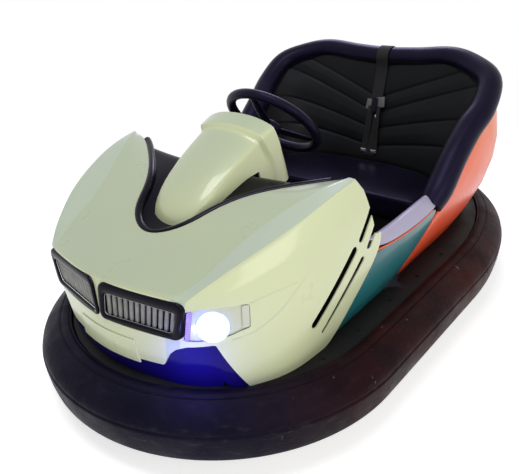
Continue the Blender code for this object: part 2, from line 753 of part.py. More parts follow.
def dash():
    """The glossy black panel between the crests, with its lip towards the driver."""
    panel = shell("dash_panel", (DASH_LIP,) + DASH_SECTIONS, "gloss_black", (0, -0.5, 0.2), thickness=0.004)
    low = steering_crossing()

    def hole(bm):
        rod(bm, low, low + COLUMN_AXIS * 0.45, TUBE_RADIUS + 0.0006, 24)

    cut(panel, add("dash_hole", mesh_from("dash_hole", hole), group=CUTTERS))


# Cowl over the steering column, front to rear, then the raised collar.
# Columns: top middle, top edge, corner, side, foot.
COWL_SECTIONS = (
    ((0.000, -0.664, 0.490), (0.028, -0.661, 0.490), (0.050, -0.652, 0.490), (0.060, -0.643, 0.490),
     (0.065, -0.635, 0.490)),
    ((0.000, -0.658, 0.549), (0.028, -0.655, 0.549), (0.048, -0.647, 0.550), (0.058, -0.638, 0.542),
     (0.063, -0.630, 0.508)),
    ((0.000, -0.640, 0.580), (0.042, -0.636, 0.582), (0.070, -0.622, 0.580), (0.082, -0.611, 0.564),
     (0.087, -0.604, 0.522)),
    ((0.000, -0.580, 0.634), (0.052, -0.576, 0.635), (0.090, -0.562, 0.629), (0.104, -0.554, 0.606),
     (0.109, -0.549, 0.550)),
    ((0.000, -0.480, 0.694), (0.062, -0.478, 0.692), (0.103, -0.466, 0.680), (0.118, -0.453, 0.640),
     (0.123, -0.446, 0.565)),
    ((0.000, -0.390, 0.740), (0.064, -0.389, 0.737), (0.106, -0.382, 0.720), (0.121, -0.354, 0.653),
     (0.127, -0.340, 0.575)),
    ((0.000, -0.386, 0.758), (0.070, -0.385, 0.754), (0.118, -0.376, 0.735), (0.136, -0.346, 0.656),
     (0.141, -0.331, 0.575)),
    ((0.000, -0.334, 0.779), (0.073, -0.334, 0.774), (0.122, -0.326, 0.752), (0.141, -0.300, 0.671),
     (0.145, -0.284, 0.592)),
    ((0.000, -0.330, 0.760), (0.064, -0.330, 0.756), (0.108, -0.322, 0.738), (0.124, -0.300, 0.668),
     (0.128, -0.286, 0.594)),
)
COWL_FOLDS = ((5, 0.6), (6, 0.7), (7, 0.6))


def cowl():
    """White cowl with a raised collar round its rear end."""
    hood = shell("column_cowl", COWL_SECTIONS, "gloss_white", (0, -0.4, 0.5), thickness=0.005,
                 creases=((2, 0.5),), folds=COWL_FOLDS)
    below = shell("cowl_trim", DASH_SECTIONS, None, (0, -0.5, 0.2), thickness=0.100, sink=-0.0005)
    cut(hood, below)


# Steering
HUB_DEPTH = 0.030


def steering_crossing():
    """The point where the column's axis meets the drive unit's upright axis."""
    step = (WHEEL_CENTRE.y - DRIVE_Y) / COLUMN_AXIS.y
    return WHEEL_CENTRE - COLUMN_AXIS * step


def steering():
    """Wheel, shaft, fixed tube and the bulkhead that holds them."""
    turn = COLUMN_AXIS.to_track_quat("Z", "Y").to_matrix().to_4x4()
    place = Matrix.Translation(WHEEL_CENTRE) @ turn
    low = WHEEL_CENTRE - COLUMN_AXIS * HUB_DEPTH
    rim = [
        (RIM_RADIUS + RIM_TUBE * math.cos(a), RIM_TUBE * math.sin(a))
        for a in (2 * math.pi * i / 8 for i in range(8))
    ]
    wheel = add("steering_wheel", mesh_from("steering_wheel", lambda bm: revolve(bm, rim, place, 32)), "vinyl")

    def spokes(bm):
        for degrees in (90, 210, 330):
            out = Vector((math.cos(math.radians(degrees)), math.sin(math.radians(degrees)), 0))
            across = Vector((-out.y, out.x, 0))
            ends = []
            for reach, half, height in ((0.018, 0.022, -0.022), (RIM_RADIUS, 0.014, -0.002)):
                ring_at = []
                for a, b in ((-1, -1), (1, -1), (1, 1), (-1, 1)):
                    at = out * reach + across * half * a + Vector((0, 0, height + 0.005 * b))
                    ring_at.append(bm.verts.new(place @ at))
                ends.append(ring_at)
            bm.faces.new(ends[0])
            bm.faces.new(ends[1])
            for i in range(4):
                j = (i + 1) % 4
                bm.faces.new((ends[0][i], ends[0][j], ends[1][j], ends[1][i]))

    hub = ((0.000, -0.004), (0.026, -0.006), (0.034, -0.012), (0.034, -HUB_DEPTH), (0.000, -HUB_DEPTH))
    cut(wheel, add("spoke_cutter", mesh_from("spoke_cutter", spokes), group=CUTTERS), "UNION")
    hub_mesh = mesh_from("hub_cutter", lambda bm: revolve(bm, hub, place, 18))
    cut(wheel, add("hub_cutter", hub_mesh, group=CUTTERS), "UNION")

    crossing = steering_crossing()
    shaft = add(
        "steering_shaft",
        mesh_from("steering_shaft", lambda bm: rod(bm, crossing, low - COLUMN_AXIS * FIT, SHAFT_RADIUS, 16)),
        "steel",
    )
    ball_mesh = mesh_from(
        "ball_cutter",
        lambda bm: bmesh.ops.create_uvsphere(
            bm, u_segments=12, v_segments=6, radius=BALL_RADIUS, matrix=Matrix.Translation(crossing)
        ),
    )
    cut(shaft, add("ball_cutter", ball_mesh, group=CUTTERS), "UNION")
    smooth(shaft)
    smooth(wheel)

    tube_low = crossing + COLUMN_AXIS * 0.075
    tube_high = low - COLUMN_AXIS * 0.012
    length = (tube_high - tube_low).length
    wall = (
        (SHAFT_RADIUS + 0.0005, 0), (TUBE_RADIUS, 0), (TUBE_RADIUS, length), (SHAFT_RADIUS + 0.0005, length),
    )
    tube_place = Matrix.Translation(tube_low) @ turn
    tube = mesh_from("column_tube", lambda bm: revolve(bm, wall, tube_place, 20))
    smooth(add("column_tube", tube, "black_steel"))


BULKHEAD_DRAWN_Y = -0.425
BULKHEAD_Y = spot(0, BULKHEAD_DRAWN_Y, 0).y
BULKHEAD_OUTLINE = [(0.362, PAN_TOP + FIT), (0.362, 0.244), (0.384, 0.244), (0.410, 0.315), (0.426, 0.390),
                    (0.436, 0.470), (0.430, 0.560), (0.405, 0.600), (0.270, 0.578), (0.120, 0.540)]


def bulkhead():
    """Steel wall behind the bonnet, between the driver's feet and the drive unit."""
    wall = front_prism("bulkhead", BULKHEAD_OUTLINE + [(-x, z) for x, z in reversed(BULKHEAD_OUTLINE)],
                       BULKHEAD_DRAWN_Y - SHEET / 2, BULKHEAD_DRAWN_Y, (1,))
    CUTTERS.objects.unlink(wall)
    PARTS.objects.link(wall)
    wall.hide_render = False
    wall.display_type = "TEXTURED"
    wall.data.materials.append(finish("black_steel"))

    def foot(bm):
        base = PAN_TOP + FIT
        half = SEAT_HALF + 0.012
        box(bm, (-half, BULKHEAD_Y - 0.001, base), (half, BULKHEAD_Y + 0.030, base + SHEET / 2))

    cut(wall, add("foot_cutter", mesh_from("foot_cutter", foot), group=CUTTERS), "UNION")
    middle = steering_crossing() + COLUMN_AXIS * 0.25

    def bore(bm):
        rod(bm, middle - COLUMN_AXIS * 0.15, middle + COLUMN_AXIS * 0.15, TUBE_RADIUS + FIT, 20)

    cut(wall, add("column_bore", mesh_from("column_bore", bore), group=CUTTERS))


# Sides of the cockpit. Rows from the sill down; columns front to rear.
SILL_OUTER = ((0.447, -0.300, 0.452), (0.449, -0.200, 0.438), (0.448, -0.100, 0.432), (0.446, 0.000, 0.434),
              (0.442, 0.105, 0.440))
SILL_ROWS = (
    ((0.385, -0.290, 0.385), (0.385, -0.200, 0.385), (0.385, -0.100, 0.388), (0.387, 0.000, 0.394),
     (0.388, 0.075, 0.398)),
    ((0.396, -0.290, 0.456), (0.394, -0.200, 0.452), (0.392, -0.100, 0.450), (0.393, 0.000, 0.456),
     (0.396, 0.068, 0.462)),
    ((0.424, -0.296, 0.466), (0.421, -0.200, 0.460), (0.417, -0.100, 0.459), (0.417, 0.000, 0.465),
     (0.418, 0.075, 0.469)),
    SILL_OUTER,
)
FLANK_ROWS = (
    ((0.4450, -0.318, 0.4445), (0.4490, -0.200, 0.4325), (0.4480, -0.100, 0.4265), (0.4460, 0.000, 0.4285),
     (0.4420, 0.112, 0.4340)),
    ((0.430, -0.366, 0.390), (0.441, -0.250, 0.385), (0.445, -0.130, 0.380), (0.446, -0.040, 0.382),
     (0.443, 0.045, 0.388)),
    ((0.418, -0.426, 0.315), (0.425, -0.320, 0.310), (0.429, -0.200, 0.306), (0.430, -0.110, 0.308),
     (0.428, -0.035, 0.318)),
    ((0.402, -0.500, HEM), (0.402, -0.400, HEM), (0.400, -0.290, HEM), (0.399, -0.200, HEM),
     (0.398, -0.125, HEM)),
)


def sides():
    """Teal flank panels and the pale sill caps over them."""
    made = sided("side_panel", FLANK_ROWS, "gloss_teal", (0, -0.1, 0.3))
    made += sided("sill_cap", SILL_ROWS, "gloss_grey", (0.42, 0, 0.30), thickness=0.004)
    for panel in made:
        cut(panel, bpy.data.objects["bonnet_seam"])
    for cap in made[2:]:
        cut(cap, bpy.data.objects["roll_seam"])


# Rear shell. Columns from the front edge round to the middle of the tail;
# rows: top edge, upper flank, lower flank, hem.
REAR_ROWS = (
    ((0.438, 0.130, 0.430), (0.454, 0.205, 0.520), (0.465, 0.303, 0.605), (0.478, 0.388, 0.668),
     (0.452, 0.482, 0.740), (0.400, 0.518, 0.765), (0.284, 0.566, 0.798), (0.132, 0.578, 0.790),
     (0.000, 0.574, 0.784)),
    ((0.444, 0.052, 0.385), (0.452, 0.165, 0.430), (0.466, 0.320, 0.480), (0.472, 0.460, 0.520),
     (0.456, 0.600, 0.540), (0.402, 0.710, 0.545), (0.282, 0.780, 0.545), (0.140, 0.808, 0.540),
     (0.000, 0.815, 0.538)),
    ((0.429, -0.030, 0.317), (0.432, 0.110, 0.335), (0.442, 0.300, 0.350), (0.444, 0.460, 0.360),
     (0.422, 0.620, 0.365), (0.358, 0.750, 0.365), (0.243, 0.828, 0.365), (0.120, 0.862, 0.362),
     (0.000, 0.870, 0.360)),
    ((0.398, -0.120, HEM), (0.386, 0.060, HEM), (0.386, 0.260, HEM), (0.378, 0.430, HEM),
     (0.346, 0.585, HEM), (0.286, 0.705, HEM), (0.192, 0.795, HEM), (0.096, 0.835, HEM),
     (0.000, 0.850, HEM)),
)


def rear():
    """The orange shell behind and beside the seat."""
    cut(shell("rear_shell", REAR_ROWS, "gloss_orange", (0, 0.3, 0.4)), bpy.data.objects["roll_seam"])


# Seat
ROLL_PATH = (
    (0.420, 0.085, 0.432, 0.85), (0.428, 0.130, 0.478, 1.0), (0.432, 0.205, 0.556, 1.0),
    (0.438, 0.295, 0.630, 1.0), (0.452, 0.372, 0.688, 0.95), (0.434, 0.458, 0.757, 0.9),
    (0.356, 0.512, 0.793, 0.85), (0.258, 0.542, 0.812, 0.8), (0.130, 0.549, 0.801, 0.8),
    (0.000, 0.545, 0.795, 0.8),
)
BACK_ROWS = (
    ((0.406, 0.150, 0.448), (0.409, 0.210, 0.510), (0.412, 0.300, 0.594), (0.418, 0.385, 0.668),
     (0.408, 0.454, 0.741), (0.336, 0.499, 0.776), (0.170, 0.528, 0.783), (0.000, 0.524, 0.772)),
    ((0.392, 0.150, 0.440), (0.392, 0.205, 0.482), (0.392, 0.290, 0.535), (0.388, 0.370, 0.585),
     (0.358, 0.428, 0.630), (0.286, 0.464, 0.658), (0.150, 0.484, 0.660), (0.000, 0.488, 0.655)),
    ((0.378, 0.150, 0.432), (0.374, 0.200, 0.450), (0.366, 0.275, 0.475), (0.352, 0.345, 0.495),
     (0.316, 0.393, 0.510), (0.248, 0.426, 0.520), (0.130, 0.445, 0.522), (0.000, 0.450, 0.520)),
    ((0.366, 0.150, 0.398), (0.362, 0.196, 0.398), (0.352, 0.264, 0.398), (0.334, 0.328, 0.398),
     (0.292, 0.375, 0.398), (0.220, 0.407, 0.398), (0.112, 0.424, 0.398), (0.000, 0.429, 0.398)),
)
SEAT_BASE_TOP = CUSHION_TOP - CUSHION_THICK


def roll(name, extra, group):
    """A mesh of the seat's padded roll, fattened by the extra."""
    half = rounded_path([spot(*p[:3]) for p in ROLL_PATH], 2)
    sizes = rounded_path([(p[3], 0, 0) for p in ROLL_PATH], 2)
    path = half + [mirrored_x(p) for p in reversed(half[:-1])]
    scale = [v.x for v in sizes]
    scale += list(reversed(scale[:-1]))
    curve = bpy.data.curves.new(name, "CURVE")
    curve.dimensions = "3D"
    curve.bevel_depth = ROLL_RADIUS
    curve.bevel_resolution = 2
    curve.use_fill_caps = True
    spline = curve.splines.new("POLY")
    spline.points.add(len(path) - 1)
    for point, place, size in zip(spline.points, path, scale):
        point.co = (*place, 1)
        point.radius = size + extra / ROLL_RADIUS
    guide = bpy.data.objects.new(name, curve)
    group.objects.link(guide)
    mesh = bpy.data.meshes.new_from_object(guide)
    bpy.data.objects.remove(guide, do_unlink=True)
    bm = bmesh.new()
    bm.from_mesh(mesh)
    bmesh.ops.remove_doubles(bm, verts=bm.verts, dist=0.00001)
    bmesh.ops.recalc_face_normals(bm, faces=bm.faces)
    bm.to_mesh(mesh)
    bm.free()
    return add(name, mesh, "vinyl" if group is PARTS else None, group)


def bolster():
    """The round vinyl roll along the edge of the seat, and the cutter that seats its neighbours."""
    smooth(roll("seat_roll", 0, PARTS), 40)
    roll("roll_seam", 0.0005, CUTTERS)


def seat():
    """Seat box, cushion and wrapped backrest."""

    def base(bm):
        box(bm, (-SEAT_HALF, SEAT_FRONT + 0.015, PAN_TOP + FIT),
            (SEAT_HALF, SEAT_FRONT + SEAT_DEPTH, SEAT_BASE_TOP - FIT))

    seat_box = add("seat_box", mesh_from("seat_box", base), "vinyl")

    def hollow(bm):
        box(bm, (-SEAT_HALF + SHEET, SEAT_FRONT + 0.015 + SHEET, 0),
            (SEAT_HALF - SHEET, SEAT_FRONT + SEAT_DEPTH + 0.095, SEAT_BASE_TOP - FIT - SHEET))

    cut(seat_box, add("seat_box_cutter", mesh_from("seat_box_cutter", hollow), group=CUTTERS))

    def pad(bm):
        outline = ((-0.352, 0.110), (0.352, 0.110), (0.356, 0.190), (0.345, 0.262), (0.326, 0.325),
                   (0.285, 0.372), (0.218, 0.402), (0.112, 0.419), (0.000, 0.424), (-0.112, 0.419),
                   (-0.218, 0.402), (-0.285, 0.372), (-0.326, 0.325), (-0.345, 0.262), (-0.356, 0.190))
        low = [bm.verts.new(spot(x, y, SEAT_BASE_TOP)) for x, y in outline]
        high = [bm.verts.new(spot(x, y, CUSHION_TOP)) for x, y in outline]
        bm.faces.new(low)
        bm.faces.new(high)
        for i in range(len(outline)):
            j = (i + 1) % len(outline)
            bm.faces.new((low[i], low[j], high[j], high[i]))

    cushion = add("seat_cushion", mesh_from("seat_cushion", pad), "vinyl")
    bevel(cushion, 0.022, 3, 50)
    smooth(cushion)
    back = shell("seat_back", BACK_ROWS, "vinyl", (0, 0.9, 0.3), thickness=PAD)
    cut(back, bpy.data.objects["roll_seam"])


def belt():
    """Lap strap down the middle of the backrest, with its buckle."""
    centre = spot(*ROLL_PATH[-1][:3]).yz
    radius = ROLL_RADIUS * ROLL_PATH[-1][3] + 0.0022
    over = [math.radians(a) for a in range(50, 201, 15)]
    path = [(centre.x + radius * math.cos(a), centre.y + radius * math.sin(a)) for a in over]
    down = ((0.512, 0.749), (0.4954, 0.695), (0.4792, 0.6393), (0.4637, 0.5811), (0.4494, 0.5243),
            (0.4365, 0.4725), (0.4270, 0.434))
    path += [(spot(0, y - 0.0014, z).y, z) for y, z in down]

    def strap(bm):
        front, back = [], []
        for i, (y, z) in enumerate(path):
            before = Vector(path[max(i - 1, 0)])
            after = Vector(path[min(i + 1, len(path) - 1)])
            along = (after - before).normalized()
            normal = Vector((along.y, -along.x))
            for row, lift in ((back, 0.0), (front, 0.0025)):
                at = Vector((y, z)) + normal * lift
                row.append([bm.verts.new((x, at.x, at.y)) for x in (-0.024, 0.024)])
        loops = [[f[0], f[1], b[1], b[0]] for f, b in zip(front, back)]
        bm.faces.new(loops[0])
        bm.faces.new(loops[-1])
        for here, there in zip(loops, loops[1:]):
            for i in range(4):
                j = (i + 1) % 4
                bm.faces.new((here[i], here[j], there[j], there[i]))

    add("belt_strap", mesh_from("belt_strap", strap), "webbing")


PEDAL_FOOT = spot(0.120, -0.325, PAN_TOP + 0.026)
PEDAL_LEAN = math.radians(32)


def pedal():
    """Accelerator pedal and its bracket at the foot of the bulkhead."""
    x, y, z = PEDAL_FOOT
    base = PAN_TOP + FIT
    outline = [(-0.025, base), (0.025, base), (0.025, z + 0.012), (0.0193, z + 0.012), (0.0193, base + 0.005),
               (-0.0193, base + 0.005), (-0.0193, z + 0.012), (-0.025, z + 0.012)]
    outline = [(x + a, height) for a, height in outline]
    bracket = mesh_from("pedal_bracket", lambda bm: extruded(bm, outline, y - 0.018, y + 0.018))
    add("pedal_bracket", bracket, "steel")

    def plate(bm):
        shape = ((-0.019, -0.012), (0.019, -0.012), (0.019, 0.018), (0.034, 0.026), (0.036, 0.125),
                 (-0.036, 0.125), (-0.034, 0.026), (-0.019, 0.018))
        extruded(bm, shape, -0.004, 0.004)
        lean = Matrix.Translation(PEDAL_FOOT) @ Matrix.Rotation(PEDAL_LEAN, 4, "X")
        bmesh.ops.transform(bm, matrix=lean, verts=bm.verts)

    add("accelerator_pedal", mesh_from("accelerator_pedal", plate), "steel")


def battery():
    """Traction battery under the seat, as one block."""

    def build(bm):
        half = SEAT_HALF - BATTERY_INSIDE_SEAT
        back = SEAT_FRONT + SEAT_DEPTH - 0.005
        box(bm, (-half, SEAT_FRONT + 0.050, PAN_TOP + FIT), (half, back, BATTERY_TOP))

    bevel(add("battery", mesh_from("battery", build), "gloss_black"), 0.006, 1)


# Drive unit


def extruded(bm, outline, low, high):
    """A prism along Y from an (x, z) outline."""
    near = [bm.verts.new((x, low, z)) for x, z in outline]
    far = [bm.verts.new((x, high, z)) for x, z in outline]
    bm.faces.new(near)
    bm.faces.new(far)
    for i in range(len(outline)):
        j = (i + 1) % len(outline)
        bm.faces.new((near[i], near[j], far[j], far[i]))


def channel(half, top, low, sheet, foot=0.0):
    """Outline of an upturned U, with feet turned outwards if asked."""
    right = [(half - sheet, top - sheet), (half - sheet, low)]
    if foot:
        right += [(half + foot, low), (half + foot, low + sheet), (half, low + sheet)]
    else:
        right += [(half, low)]
    right += [(half, top)]
    return right + [(-x, z) for x, z in reversed(right)]


FORK_TOP = 0.222
FORK_HALF = 0.040


def drive_unit():
    """Front driving wheel in a fork that turns about an upright stem in a bridge over its well."""
    y = DRIVE_Y
    bridge = add(
        "drive_bridge",
        mesh_from(
            "drive_bridge",
            lambda bm: extruded(
                bm, channel(BRIDGE_HALF, BRIDGE_TOP, PAN_TOP + FIT, 0.008, 0.035), y - 0.050, y + 0.050
            ),
        ),
        "black_steel",
    )
    boss = mesh_from("boss_cutter", lambda bm: rod(bm, (0, y, 0.2335), (0, y, STEM_TOP - 0.0146), 0.040, 20))
    cut(bridge, add("boss_cutter", boss, group=CUTTERS), "UNION")
    bore = mesh_from("bridge_bore", lambda bm: rod(bm, (0, y, 0.2), (0, y, 0.3), STEM_RADIUS + 0.0006, 20))
    cut(bridge, add("bridge_bore", bore, group=CUTTERS))

    axle_z = DRIVE_WHEEL_RADIUS
    fork = add(
        "drive_fork",
        mesh_from(
            "drive_fork",
            lambda bm: extruded(bm, channel(FORK_HALF, FORK_TOP, axle_z - 0.024, 0.008), y - 0.026, y + 0.026),
        ),
        "steel",
    )
    low, high = (0, y, FORK_TOP - 0.004), (0, y, STEM_TOP)
    stem = mesh_from("stem_cutter", lambda bm: rod(bm, low, high, STEM_RADIUS, 20))
    cut(fork, add("stem_cutter", stem, group=CUTTERS), "UNION")
    collar = mesh_from("collar_cutter", lambda bm: rod(bm, (0, y, STEM_TOP - 0.014), (0, y, STEM_TOP + 0.014),
                                                      0.026, 20))
    cut(fork, add("collar_cutter", collar, group=CUTTERS), "UNION")
    crossing = steering_crossing()
    socket = mesh_from(
        "socket_cutter",
        lambda bm: bmesh.ops.create_uvsphere(
            bm, u_segments=14, v_segments=8, radius=BALL_RADIUS + 0.0025, matrix=Matrix.Translation(crossing)
        ),
    )
    cut(fork, add("socket_cutter", socket, group=CUTTERS))
    pin = mesh_from(
        "axle_hole", lambda bm: rod(bm, (-0.1, y, axle_z), (0.1, y, axle_z), AXLE_RADIUS + FIT, 16)
    )
    cut(fork, add("axle_hole", pin, group=CUTTERS))

    def axle(bm):
        rod(bm, (-FORK_HALF - 0.006, y, axle_z), (FORK_HALF + 0.006, y, axle_z), AXLE_RADIUS, 16)

    smooth(add("drive_axle", mesh_from("drive_axle", axle), "steel"))

    def motor(bm):
        rod(bm, (FORK_HALF + FIT, y, axle_z + 0.034), (FORK_HALF + 0.085, y, axle_z + 0.034), 0.048, 20)

    made = add("drive_motor", mesh_from("drive_motor", motor), "black_steel")
    bevel(made, 0.004, 1, 60)
    smooth(made)
    cut(made, add("motor_relief", mesh_from("motor_relief", lambda bm: rod(
        bm, (0, y, axle_z), (FORK_HALF + 0.010, y, axle_z), AXLE_RADIUS + 0.003, 16)), group=CUTTERS))
    wheel("drive", 0, y, DRIVE_WHEEL_RADIUS, DRIVE_WHEEL_WIDTH)


def wheel(name, x, y, radius, width):
    """A rubber tyre on a turned hub, with the axle's bore."""
    seat = radius * 0.68
    half = width / 2
    tyre = (
        (seat, -half + 0.002), (radius * 0.93, -half), (radius, -half + radius * 0.06),
        (radius, half - radius * 0.06), (radius * 0.93, half), (seat, half - 0.002),
    )
    hub = (
        (AXLE_RADIUS + 0.0004, -half - 0.003), (0.020, -half - 0.003), (0.024, -half + 0.010),
        (seat - 0.008, -half + 0.002), (seat - FIT, -half + 0.002), (seat - FIT, half - 0.002),
        (seat - 0.008, half - 0.002), (0.024, half - 0.010), (0.020, half + 0.003),
        (AXLE_RADIUS + 0.0004, half + 0.003),
    )
    place = Matrix.Translation((x, y, radius)) @ Matrix.Rotation(math.radians(90), 4, "Y")
    suffix = {1: "_l", -1: "_r", 0: ""}[(x > 0) - (x < 0)]
    for part, profile, material in (("tyre", tyre, "rubber"), ("hub", hub, "steel")):
        full = f"{name}_{part}{suffix}"
        smooth(add(full, mesh_from(full, lambda bm: revolve(bm, profile, place, 20)), material), 40)


def rear_wheels():
    """Two rear wheels on one cross axle, held by upturned channels over slots in the floor."""
    z = REAR_WHEEL_RADIUS
    half = REAR_WHEEL_WIDTH / 2 + 0.0095

    def bore(bm):
        rod(bm, (-0.5, REAR_Y, z), (0.5, REAR_Y, z), AXLE_RADIUS + FIT, 16)

    holes = add("bracket_holes", mesh_from("bracket_holes", bore), group=CUTTERS)
    for suffix, side in (("l", 1), ("r", -1)):
        name = f"rear_bracket_{suffix}"
        outline = [(side * REAR_X + x, height) for x, height in bracket_outline(half, z)]
        bracket = mesh_from(name, lambda bm: extruded(bm, outline, REAR_Y - 0.030, REAR_Y + 0.030))
        cut(add(name, bracket, "black_steel"), holes)
        wheel("rear", side * REAR_X, REAR_Y, REAR_WHEEL_RADIUS, REAR_WHEEL_WIDTH)
    reach = REAR_X + half + 0.010

    def axle(bm):
        rod(bm, (-reach, REAR_Y, z), (reach, REAR_Y, z), AXLE_RADIUS, 16)

    smooth(add("rear_axle", mesh_from("rear_axle", axle), "steel"))


def bracket_outline(half, axle_z):
    """Upturned channel whose cheeks reach below the feet, down past the axle."""
    top = 2 * axle_z + 0.013
    foot = PAN_TOP + FIT
    sheet = 0.0035
    right = [
        (half, top - sheet), (half, axle_z - 0.016), (half + sheet, axle_z - 0.016), (half + sheet, foot),
        (half + 0.040, foot), (half + 0.040, foot + 0.004), (half + sheet, foot + 0.004), (half + sheet, top),
    ]
    return right + [(-x, height) for x, height in reversed(right)]


bumper()
floor_pan()
foot_plate()
bonnet()
intake_panel()
grilles()
headlamps()
dash()
cowl()
steering()
bulkhead()
bolster()
sides()
rear()
seat()
belt()
pedal()
battery()
drive_unit()
rear_wheels()
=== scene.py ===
"""Two-seat bumper car: bodywork, seat, tyre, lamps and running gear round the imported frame."""

import functools
import json
import math
from collections import Counter

import bpy
from mathutils import Matrix, Vector
from mathutils.kdtree import KDTree

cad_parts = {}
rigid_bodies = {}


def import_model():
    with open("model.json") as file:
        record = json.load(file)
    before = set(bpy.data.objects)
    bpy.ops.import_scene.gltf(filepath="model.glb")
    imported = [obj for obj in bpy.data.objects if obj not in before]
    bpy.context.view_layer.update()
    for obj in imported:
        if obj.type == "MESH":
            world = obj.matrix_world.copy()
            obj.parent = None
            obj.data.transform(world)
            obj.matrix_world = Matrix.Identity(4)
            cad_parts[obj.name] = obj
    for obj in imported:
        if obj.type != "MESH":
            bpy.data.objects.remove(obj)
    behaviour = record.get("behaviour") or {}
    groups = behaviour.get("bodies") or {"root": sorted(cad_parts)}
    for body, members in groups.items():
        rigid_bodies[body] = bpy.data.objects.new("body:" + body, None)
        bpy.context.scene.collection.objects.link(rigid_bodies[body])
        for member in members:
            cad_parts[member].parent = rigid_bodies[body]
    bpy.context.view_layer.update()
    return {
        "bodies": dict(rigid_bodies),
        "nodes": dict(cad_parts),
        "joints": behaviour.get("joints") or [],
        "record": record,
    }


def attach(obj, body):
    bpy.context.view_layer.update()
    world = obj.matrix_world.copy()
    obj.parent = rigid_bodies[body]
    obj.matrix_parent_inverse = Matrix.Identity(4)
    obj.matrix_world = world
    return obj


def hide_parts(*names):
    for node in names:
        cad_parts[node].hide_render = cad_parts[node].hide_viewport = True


bl_info = {
    "name": "Bumper Car",
    "version": (1, 0, 0),
    "blender": (4, 5, 0),
    "location": "View3D > Sidebar > Bumper Car",
    "description": "Builds a two-seat bumper car in pieces on its packed frame",
    "category": "Object",
}

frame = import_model()
SIDES = (("l", 1), ("r", -1))


def metres(value):
    """A table of millimetres in metres."""
    if isinstance(value, tuple):
        return tuple(metres(part) for part in value)
    return value / 1000


def mirrored_half(outline):
    """A half outline from the middle line, completed on the other side."""
    first = 1 if outline[0][0] == 0 else 0
    return list(outline) + [(-a, b) for a, b in reversed(outline[first:])]


# Bumper outline in plan
HALF_WIDTH = 0.580
FRONT_ARC_Y = -0.430
REAR_ARC_Y = 0.176
REAR_ARC_LENGTH = 0.834
TYRE_DEPTH = 0.100
FLANGE_TOP = 0.236
SKIN = 0.006

# Tables of points are in millimetres. The body shells end at this height.
HEM = 236.5

# Bonnet: sections from the cockpit edge forward, then down the front face.
# Each row: inner edge, mid top, crest inner, crest outer, shoulder, belly, flank, hem.
BONNET_ROWS = metres((
    ((362, -390, 660), (388, -391, 668), (408, -390, 677), (422, -386, 674), (452, -340, 600),
     (462, -280, 482), (440, -372, 365), (417, -485, HEM)),
    ((285, -448, 649), (332, -453, 656), (382, -452, 668), (418, -455, 665), (447, -430, 597),
     (456, -380, 475), (438, -445, 358), (416, -525, HEM)),
    ((196, -522, 633), (265, -525, 636), (342, -522, 642), (409, -525, 646), (438, -515, 587),
     (450, -470, 463), (435, -505, 350), (414, -565, HEM)),
    ((136, -600, 606), (212, -602, 605), (304, -602, 606), (390, -602, 620), (420, -602, 570),
     (440, -560, 452), (430, -570, 345), (411, -605, HEM)),
    ((104, -680, 574), (178, -678, 572), (278, -676, 571), (362, -680, 592), (394, -682, 546),
     (420, -642, 440), (418, -632, 340), (404, -645, HEM)),
    ((0, -742, 542), (150, -742, 545), (270, -738, 545), (328, -744, 561), (357, -748, 521),
     (388, -712, 425), (394, -692, 335), (390, -686, HEM)),
    ((0, -830, 522), (140, -822, 520), (262, -796, 518), (292, -803, 526), (316, -803, 501),
     (348, -768, 412), (362, -746, 330), (368, -727, HEM)),
    ((0, -899, 499), (120, -884, 500), (228, -858, 498), (262, -846, 494), (280, -834, 474),
     (316, -806, 398), (334, -786, 325), (344, -766, HEM)),
    ((0, -904, 385), (110, -889, 385), (200, -867, 384), (234, -854, 380), (262, -842, 370),
     (290, -824, 345), (312, -805, 300), (326, -784, HEM)),
    ((0, -900, 290), (105, -887, 290), (190, -864, 290), (222, -852, 288), (246, -840, 284),
     (268, -826, 276), (288, -811, 268), (306, -797, 258)),
    ((0, -890, HEM), (105, -878, HEM), (190, -856, HEM), (222, -845, HEM), (246, -833, HEM),
     (268, -820, HEM), (290, -804, HEM), (310, -788, HEM)),
))
BONNET_CREASES = ((2, 0.65), (3, 0.8), (4, 0.35))
# The row where the bonnet's top ends and its face begins
NOSE_ROW = 7
# Slots in the side, as (y, z): where each starts and ends, and its width at both ends
VENTS = metres((
    ((-574, 350), (-428, 498), 25, 25), ((-536, 306), (-390, 458), 12, 19),
    ((-399, 521), (-343, 597), 20, 20), ((-361, 487), (-318, 556), 20, 20),
))
# What the bonnet's rear edge is cut back by above the last slot, as (y, z)
REAR_STEP = metres((
    (-334, 514), (-336.5, 525), (-345.4, 555), (-353.4, 577), (-360, 602), (-366, 640), (-200, 640),
    (-200, 506), (-318, 506),
))
# Thin raised lines that run back from the lamps
FLANK_LINES = metres((
    ((362.8, -740, 475), (393.3, -685.4, 487.6), (418.1, -621.2, 494.1)),
    ((335.7, -780.6, 385), (368.6, -735.2, 397.6), (400.1, -678.1, 434.3), (418.4, -621.9, 483.7),
     (425.6, -586.4, 518.1)),
))
# The column of bonnet points after which the crest's strip starts, painted bluish grey as a reflection of
# cool light
CREST_REFLECTION_COLUMN = 2
# The grille's opening in the shell and its window inside the bezel, from the front as (x, z)
GRILLE_CORNERS = metres(((12, 494.5), (262.5, 490), (245, 383.5), (2, 385)))
GRILLE_WINDOW = metres(((27, 464), (239, 461), (219, 399.5), (17, 399.5)))
INTAKE_OUTLINE = mirrored_half(metres((
    (0, 292), (182, 297), (192, 316), (203, 336), (222, 354), (250, 366), (309, 375), (352, 243),
    (366, 200),
)))
LAMP_PLACE = Vector((0.303, -0.806, 0.424))
LAMP_AIM = Vector((0.62, -0.76, 0.18)).normalized()
LAMP_RADIUS = 0.040
